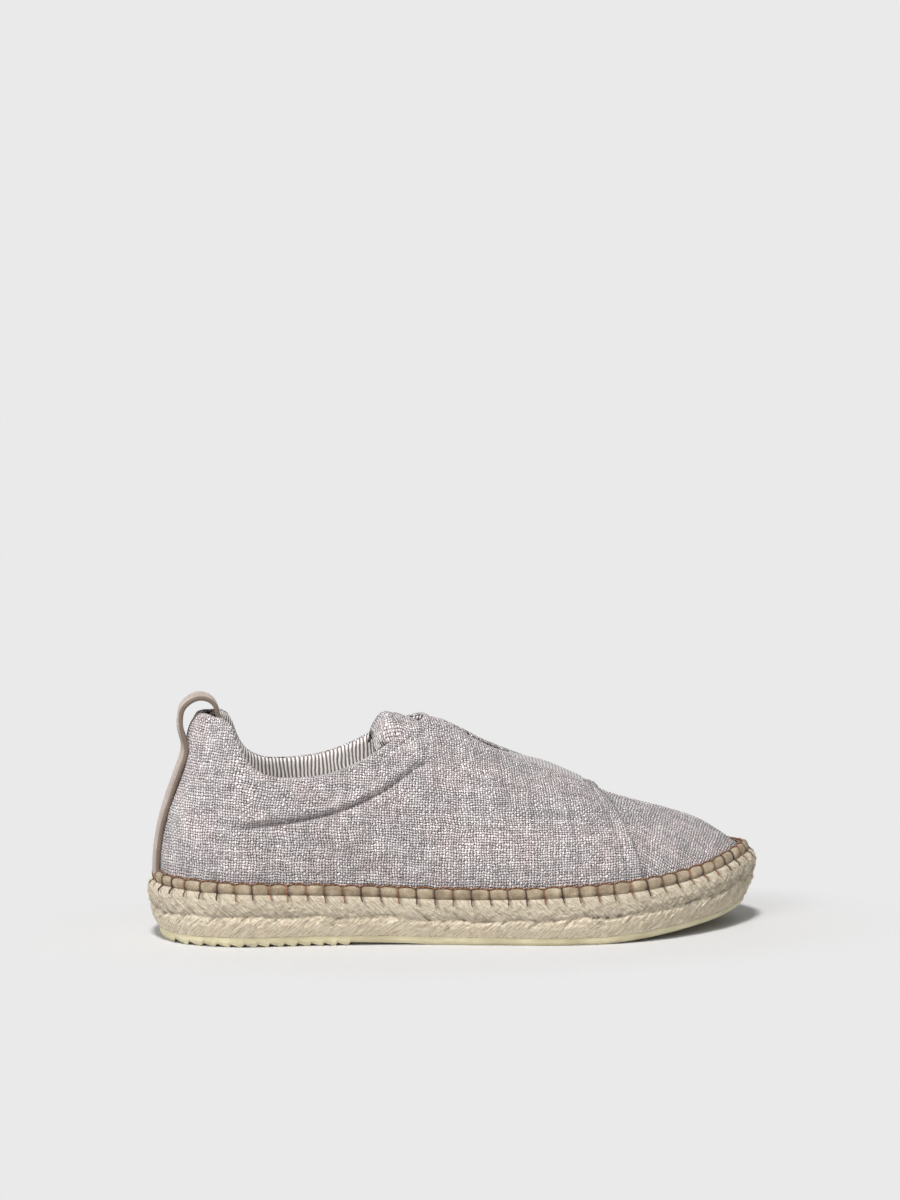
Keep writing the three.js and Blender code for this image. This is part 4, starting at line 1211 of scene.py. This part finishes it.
def tubes(name, paths, radii, tones, closed=False, sides=thread_sides):
    # One piece made of a tube round each path, each with a tone of its own.
    all_points, all_faces, all_threads, all_tones, start = [], [], [], [], 0
    for path, radius, tone_value in zip(paths, radii, tones):
        points, threads = tube(path, radius, closed, sides)
        faces = grid_faces(len(points), sides, start=start, closed=True)
        if closed:
            k = np.arange(sides)
            last = start + (len(points) - 1) * sides
            after = (k + 1) % sides
            closing = np.stack([last + k, last + after, start + after, start + k], 1)
            faces = np.concatenate([faces, closing])
        all_points.append(points.reshape(-1, 3))
        all_threads.append(threads.reshape(-1, 2))
        all_faces.append(faces)
        all_tones.append(np.full(len(points) * sides, tone_value))
        start += len(points) * sides
    return piece(name, np.concatenate(all_points), np.concatenate(all_faces), np.concatenate(all_threads),
                 tone=np.concatenate(all_tones))


def turn_of(length):
    # Where round the sole a distance from the heel's back lies: the reverse of length_at.
    length = np.mod(length, outline_round)
    return np.where(length <= outline_toe, length / outline_toe,
                    1 + (length - outline_toe) / (outline_round - outline_toe))


stitch_paths, stitch_radii, stitch_tones = [], [], []
for k in range(stitch_count):
    head = k * outline_round / stitch_count + random.uniform(-0.3, 0.3)
    slip, reach, slant = random.uniform(0.1, 1.0), random.uniform(2.2, 3.6), random.uniform(-0.15, 0.45)
    up = np.array([1.03, 0.9, 0.7, 0.45, 0.2, 0.04])
    over_tape = tape_surface(turn_of(head + slant * (1 - up)), up, 0.22)
    down = np.linspace(0.25, 1, 5)
    at = turn_of(head + slant + slip * down)
    on_jute = jute_surface(at, 1 - reach * down / jute_height)[0]
    _, normal = outline(at)
    lift = 0.45 - 1.5 * smooth(0.55, 1.0, down)
    on_jute[:, :2] += normal * lift[:, None]
    path = np.concatenate([over_tape, on_jute])
    fine = np.linspace(0, len(path) - 1, stitch_samples)
    rows = {"at": np.arange(len(path), dtype=float), **{str(c): path[:, c] for c in range(3)}}
    stitch_paths.append(np.stack([column(rows, "at", str(c), fine) for c in range(3)], 1))
    taper = 1.05 - 0.4 * np.linspace(0, 1, stitch_samples) ** 3
    stitch_radii.append(thread_radius * taper * random.uniform(0.85, 1.15))
    stitch_tones.append(random.uniform(0, 1) ** 1.3)
stitches = tubes("blanket_stitches", stitch_paths, stitch_radii, stitch_tones)

purl_samples = 2000
twist_length, twist_radius = 2.4, 0.22
length = np.linspace(0, outline_round, purl_samples, endpoint=False)
hang = np.abs(stitch_phase(length)) / (stitch_pitch / 2)
rise = 1.0 - 0.05 * np.cos(np.pi * hang) + 0.04 * noise(length / 5, 60 + 0 * length)
middle_path = tape_surface(turn_of(length), rise, 0.05)
middle_path[:, 2] += 0.35 + 0.25 * (1 - hang) ** 3 + 0.18 * noise(length / 3.1, 80 + 0 * length)
ahead = np.roll(middle_path, -1, 0) - np.roll(middle_path, 1, 0)
ahead /= np.linalg.norm(ahead, axis=1)[:, None]
level_side = np.cross(ahead, [0.0, 0.0, 1.0])
level_side /= np.linalg.norm(level_side, axis=1)[:, None]
strands = []
twists = round(outline_round / twist_length)
for phase in (0, np.pi):
    angle = length / outline_round * 2 * np.pi * twists + phase
    strands.append(middle_path + twist_radius * (np.cos(angle)[:, None] * level_side
                                                 + np.sin(angle)[:, None] * np.array([0.0, 0.0, 1.0])))
purl = tubes("running_thread", strands, [0.29, 0.27], [0.15, 0.8], closed=True)

waxed, tree, shader = material("waxed thread", roughness=0.6, specular=0.35, sheen=0.1)
lie = node(tree, "ShaderNodeSeparateXYZ", {0: threads_of(tree)}).outputs
ply = calc(tree, "ADD", calc(tree, "MULTIPLY", lie[0], 0.8), lie[1])
ply = calc(tree, "SINE", calc(tree, "MULTIPLY", ply, 2 * math.pi))
fade = texture(tree, threads_of(tree), 0.5, 2.0)
mix_tone = calc(tree, "ADD", mark_of(tree, "tone"), calc(tree, "SUBTRACT", fade, 0.5))
tint = ramp(tree, mix_tone, (0.0, (0.06, 0.03, 0.016)), (0.45, (0.17, 0.078, 0.036)),
            (0.8, (0.3, 0.13, 0.06)), (1.0, (0.42, 0.2, 0.1)))
join(tree, tint, shader["Base Color"])
relief(tree, shader, ply, 0.12)
for thread in (stitches, purl):
    thread.data.materials.append(waxed)
    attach(thread, "root")
    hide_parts("welt_tape")

# -------------------------------------------------------------------------------------- loose hairs
# Short hairs of jute that have worked out of the plait. Each is caught at one end and lifts off the braid
# towards the other.
hair_count, hair_samples, hair_sides, hair_run = 520, 7, 3, 6
hair_paths, hair_radii, hair_tones = [], [], []
at = np.linspace(0, 1, hair_samples)
for k in range(hair_count):
    run = random.uniform(-hair_run, hair_run)
    climb, bow = random.uniform(-0.2, 0.2), random.uniform(-0.07, 0.07)
    hair_turn = turn_of(random.uniform(0, outline_round) + run * at)
    hair_share = np.clip(random.uniform(0.08, 0.92) + climb * at + bow * np.sin(np.pi * at), 0.05, 0.96)
    path = jute_surface(hair_turn, hair_share)[0]
    path[:, :2] += outline(hair_turn)[1] * (0.12 + random.uniform(0.2, 1.0) * at**1.6)[:, None]
    hair_paths.append(path)
    hair_radii.append(random.uniform(0.07, 0.12) * (1 - 0.6 * at))
    hair_tones.append(random.uniform(0, 1))
hairs = tubes("jute_hairs", hair_paths, hair_radii, hair_tones, sides=hair_sides)
hair_cloth, tree, shader = material("jute hair", roughness=0.8, specular=0.2)
speck = texture(tree, threads_of(tree), 0.9, 2.0)
tint = ramp(tree, calc(tree, "ADD", mark_of(tree, "tone"), calc(tree, "MULTIPLY", speck, 0.3)),
            (0.1, (0.3, 0.22, 0.13)), (0.5, (0.72, 0.61, 0.44)), (1.0, (0.95, 0.86, 0.68)))
join(tree, tint, shader["Base Color"])
hairs.data.materials.append(hair_cloth)
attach(hairs, "root")
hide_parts("jute_sole")

# --------------------------------------------------------------------------------------------- gore
# Ribbed elastic stretched across the throat and sewn under both quarters. Its ribs run from side to side.
gore_rib, rib_height = 1.5, 0.4
gore_depth, gore_thickness, gore_rise, gore_crown = 2.9, 1.1, 1.7, 2.4
gore_start, gore_end = 0.556, 0.762
gore_columns, gore_across = 300, 28
gore_overlap, edge_ease = 5.0, 6
feet = np.linspace(gore_start, gore_end, gore_columns)
fine_shares = np.linspace(0, 1, gore_across // 2 + 1)
shares = np.linspace(0.4, 1, 200)
halves = []
for side in (-1, 1):
    turn = feet if side < 0 else 2 - feet
    gaps = slot_gap(section(turn[:, None], shares[None, :]))
    edge = np.array([shares[np.argmax(gap < gore_overlap)] for gap in gaps])
    window = np.ones(2 * edge_ease + 1) / (2 * edge_ease + 1)
    edge = np.convolve(np.pad(edge, edge_ease, mode="edge"), window, mode="valid")
    v = edge[None, :] + (1 - edge[None, :]) * fine_shares[:, None]
    crown = np.sin(np.pi * 0.5 * fine_shares[:, None])
    x = section(turn[None, :], v)[..., 0]
    rib = np.abs(np.sin(np.pi * x / gore_rib))
    shown = (smooth(0.62, 0.7, feet) * (1 - smooth(0.735, 0.752, feet)))[None, :]
    offset = -gore_depth + (gore_rise + gore_crown * crown) * shown + rib_height * rib
    offset = offset + 0.06 * noise(x / 3, v * 40)
    halves.append((form(turn, v, offset), form(turn, v, offset - gore_thickness - 0.3 * rib), rib))
outer = np.concatenate([halves[0][0], halves[1][0][::-1][1:]])
inner = np.concatenate([halves[0][1], halves[1][1][::-1][1:]])
rib = np.concatenate([halves[0][2], halves[1][2][::-1][1:]])
elastic = cloth_piece("gore_elastic", outer, inner, outer[..., :2], roll=0.2, shade=(1 - rib) ** 1.5 * 0.9)
elastic_cloth, tree, shader = material("ribbed elastic", roughness=0.85, specular=0.2, sheen=0.2)
lie = node(tree, "ShaderNodeSeparateXYZ", {0: threads_of(tree)}).outputs
yarn = calc(tree, "SINE", calc(tree, "MULTIPLY", lie[1], 2 * math.pi / 0.7))
fuzz = texture(tree, threads_of(tree), 2.2, 3.0, 0.7)
tint = ramp(tree, fuzz, (0.3, (0.4, 0.38, 0.375)), (0.7, (0.64, 0.615, 0.605)))
tint = blend(tree, mark_of(tree, "shade"), tint, (0.1, 0.09, 0.085, 1))
join(tree, tint, shader["Base Color"])
relief(tree, shader, calc(tree, "ADD", yarn, fuzz), 0.12)
elastic.data.materials.append(elastic_cloth)
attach(elastic, "root")
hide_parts("gore")

# ------------------------------------------------------------------------------------------- tongue
# A foam pad in linen under the elastic. Its folded end stands up in the collar's mouth, dented by the seam
# that closes it.
tongue_rows = table(
    "x z half fall thickness",
    (105, 97, 16, 9, 4), (108, 101.4, 17, 9.5, 5), (113.5, 102.8, 16.5, 9.5, 5), (121, 100.4, 16, 9.5, 4),
    (140, 92.4, 19, 10, 3), (160, 83.2, 19, 9, 3), (182, 73.4, 17, 7, 3), (194, 68.4, 13, 4.5, 2.6),
)
tongue_columns, tongue_across = 110, 60
tongue_start, tongue_end = tongue_rows["x"][0], tongue_rows["x"][-1]
tongue_seam, ridge_back = 114.5, 133.0
along = np.linspace(0, 1, tongue_columns) ** 1.25
s = np.linspace(-1, 1, tongue_across)
grid_a, grid_s = np.meshgrid(along, s)
x = tongue_start + (tongue_end - tongue_start) * grid_a
middle = column(throat_line, "x", "ridge", np.maximum(x, ridge_back))
value = {name: column(tongue_rows, "x", name, x) for name in ("z", "half", "fall", "thickness")}
edge = 1 - 0.55 * np.abs(grid_s) ** 6
drop = value["fall"] * np.abs(grid_s) ** 2.2
dents = 0.5 * noise(x / 5, grid_s * 3) * (1 - smooth(112, 135, x))
stitched = 0.55 * np.exp(-((x - tongue_seam) ** 2))
top = value["z"] - drop + dents - stitched
y = middle + grid_s * value["half"]
outer = np.stack([x, y, top], -1)
inner = np.stack([x, y, top - value["thickness"] * edge], -1)
threads = np.stack([y, distances(outer, 1)], -1)
tongue = cloth_piece("tongue_pad", outer, inner, threads, roll=1.6, shade=0.5 * stitched)
tongue.data.materials.append(linen("tongue linen", 1.0, turned=8.0))
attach(tongue, "root")
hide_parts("tongue")

# ---------------------------------------------------------------------------------- heel strip and loop
# One length of twill, 16.5 mm wide, doubled and sewn along both edges. It covers the heel seam, leaves the
# heel near the top, and goes over as a pull loop to a seam inside the collar.
strip_width, strip_thickness, strip_gap, loop_start = 16.5, 2.0, 0.5, 58.0
hem_inset, hem_width, hem_depth = 1.6, 0.5, 0.35
loop_line = table(
    "at x z",
    (0, 17.9, 86.5), (1, 16.9, 91), (2, 15.7, 96), (3, 15.4, 101), (4, 16.6, 106.3), (5, 19.6, 109.8),
    (6, 24, 111.7), (7, 28.3, 111.1), (8, 31.2, 108.8), (9, 32.6, 105.2), (10, 33.2, 101), (11, 33, 96.8),
    (12, 32.2, 93),
)
strip_across = 22
bend_rows = 9
shares = np.linspace(-1, 1, strip_across)
heel_feet = np.linspace(0, 0.1, 120)


def heel_turn(share, v):
    # Where on the heel a line drawn some share of the strip's half width from its middle meets the section v.
    reach = np.abs(section(heel_feet, v + 0 * heel_feet)[:, 1])
    foot = np.interp(abs(share) * strip_width / 2, reach, heel_feet)
    return foot if share < 0 else 2 - foot


climb_rows, loop_rows, heel_samples = 110, 150, 300
heel_shares = np.linspace(0, 1, heel_samples)
heel_lengths = distances(section(np.zeros(heel_samples), heel_shares)[None], 1)[0]
low_share = share_at(0.0, tape_height * 0.6)
high_share = np.interp(loop_start, heel_lengths, heel_shares)
climbs = np.linspace(low_share, high_share, climb_rows)
strip_turns = np.array([[heel_turn(share, v) for share in shares] for v in climbs])
grid_v = climbs[:, None] + 0 * strip_turns
loop_end = loop_line["at"][-1]
at = np.linspace(0, loop_end, loop_rows)
centre = np.stack([column(loop_line, "at", "x", at), 0 * at, column(loop_line, "at", "z", at)], 1)
ahead = np.gradient(centre, axis=0)
ahead /= np.linalg.norm(ahead, axis=1)[:, None]
away = np.stack([-ahead[:, 2], 0 * at, ahead[:, 0]], 1)
curl = 1.6 * (np.maximum(0, 1 - 3 * at / loop_end) + np.maximum(0, 4 * at / loop_end - 3))


def strip_face(out):
    # One face of the strip: up the heel and over the loop, with the bend between the two eased.
    climbing = form(strip_turns, grid_v, strip_gap + heel_bulge(grid_v) + out)
    loop = centre[:, None] + away[:, None] * (out - strip_thickness / 2) + 0 * shares[None, :, None]
    loop[..., 1] += shares * strip_width / 2
    loop[..., 0] += curl[:, None] * shares[None, :] ** 2
    joined = np.concatenate([climbing, loop])
    rows = np.arange(len(joined))
    softened = joined.copy()
    for k in range(len(joined)):
        spread = np.exp(-(((rows - k) / bend_rows) ** 2))
        softened[k] = np.tensordot(spread / spread.sum(), joined, 1)
    near_bend = np.exp(-(((rows - len(climbing)) / (1.6 * bend_rows)) ** 4))[:, None, None]
    return joined * (1 - near_bend) + softened * near_bend


hem = np.exp(-(((1 - np.abs(shares)) * strip_width / 2 - hem_inset) / hem_width) ** 2)
swell = 0.12 * (1 - np.abs(shares) ** 4)
outer, inner = strip_face(strip_thickness), strip_face(0.0)
lie = np.stack([distances(outer, 0), distances(outer, 1)], -1)
rumple = 0.18 * noise(lie[..., 0] / 9, lie[..., 1] / 7 + 30)
normal = outer - inner
normal /= np.linalg.norm(normal, axis=-1)[..., None]
outer = outer + normal * ((swell - hem_depth * hem)[None, :] + rumple)[..., None]
# The hem lines are darkened as stitching, and the strip's very edges, where it meets the linen, carry painted
# shade.
hem_and_edge_shade = (0.3 * hem + 0.8 * np.abs(shares) ** 22)[None, :]
strip = cloth_piece("heel_strip", outer, inner, lie, roll=0.25, shade=hem_and_edge_shade)
twill_cloth, tree, shader = material("strip twill", roughness=0.9, specular=0.15, sheen=0.3)
lie_out = node(tree, "ShaderNodeSeparateXYZ", {0: threads_of(tree)}).outputs
diagonal = calc(tree, "ADD", lie_out[0], lie_out[1])
rib = calc(tree, "SINE", calc(tree, "MULTIPLY", diagonal, 2 * math.pi / 0.7))
fuzz = texture(tree, threads_of(tree), 2.4, 4.0, 0.7)
wear = texture(tree, threads_of(tree), 0.1, 3.0, 0.6)
tone = calc(tree, "ADD", calc(tree, "MULTIPLY", fuzz, 0.7), calc(tree, "MULTIPLY", wear, 0.5))
tint = ramp(tree, between(tree, tone, 0.42, 0.8), (0.0, (0.27, 0.21, 0.17)), (0.5, (0.43, 0.35, 0.3)),
            (1.0, (0.58, 0.5, 0.44)))
tint = blend(tree, mark_of(tree, "shade"), tint, (0.12, 0.085, 0.06, 1))
join(tree, tint, shader["Base Color"])
relief(tree, shader, calc(tree, "ADD", calc(tree, "MULTIPLY", rib, 0.3), fuzz), 0.22)
strip.data.materials.append(twill_cloth)
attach(strip, "root")
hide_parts("heel_pull_strap")

# ------------------------------------------------------------------------------------------ backdrop
# The floor is a roll of pale paper that rises far behind the shoe. Near the shoe it is lit by the lamps and
# takes the soft shadow; farther off it glows evenly, as a lit sweep does.
sweep_half = 9.0
sweep = [(-9.0, 0.0), (3.0, 0.0), (4.5, 0.3), (5.6, 1.2), (6.2, 2.6), (6.4, 7.0)]
sweep_points = [(side * sweep_half, y, z) for y, z in sweep for side in (-1, 1)]
sweep_faces = [(2 * k, 2 * k + 1, 2 * k + 3, 2 * k + 2) for k in range(len(sweep) - 1)]
paper_mesh = bpy.data.meshes.new("paper_sweep")
paper_mesh.from_pydata(sweep_points, [], sweep_faces)
paper = bpy.data.objects.new("paper_sweep", paper_mesh)
bpy.context.scene.collection.objects.link(paper)
paper_cloth, tree, shader = material("pale paper", roughness=0.95, specular=0.0)
near_colour, far_colour, black = (0.56, 0.56, 0.56, 1), (0.823, 0.823, 0.823, 1), (0, 0, 0, 1)
lit_near, lit_far = 0.1, 0.15
oval = node(tree, "ShaderNodeVectorMath", {0: node(tree, "ShaderNodeTexCoord").outputs["Object"],
                                           1: (0.62, 1.2, 1.0)}, operation="MULTIPLY").outputs[0]
far = node(tree, "ShaderNodeVectorMath", {0: oval}, operation="LENGTH").outputs["Value"]
far = node(tree, "ShaderNodeMapRange", {0: far, 1: lit_near, 2: lit_far},
           interpolation_type="SMOOTHSTEP").outputs[0]
join(tree, blend(tree, far, near_colour, black), shader["Base Color"])
join(tree, blend(tree, far, black, far_colour), shader["Emission Color"])
shader["Emission Strength"].default_value = 1.0
paper_mesh.materials.append(paper_cloth)
paper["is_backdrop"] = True
low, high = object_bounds()
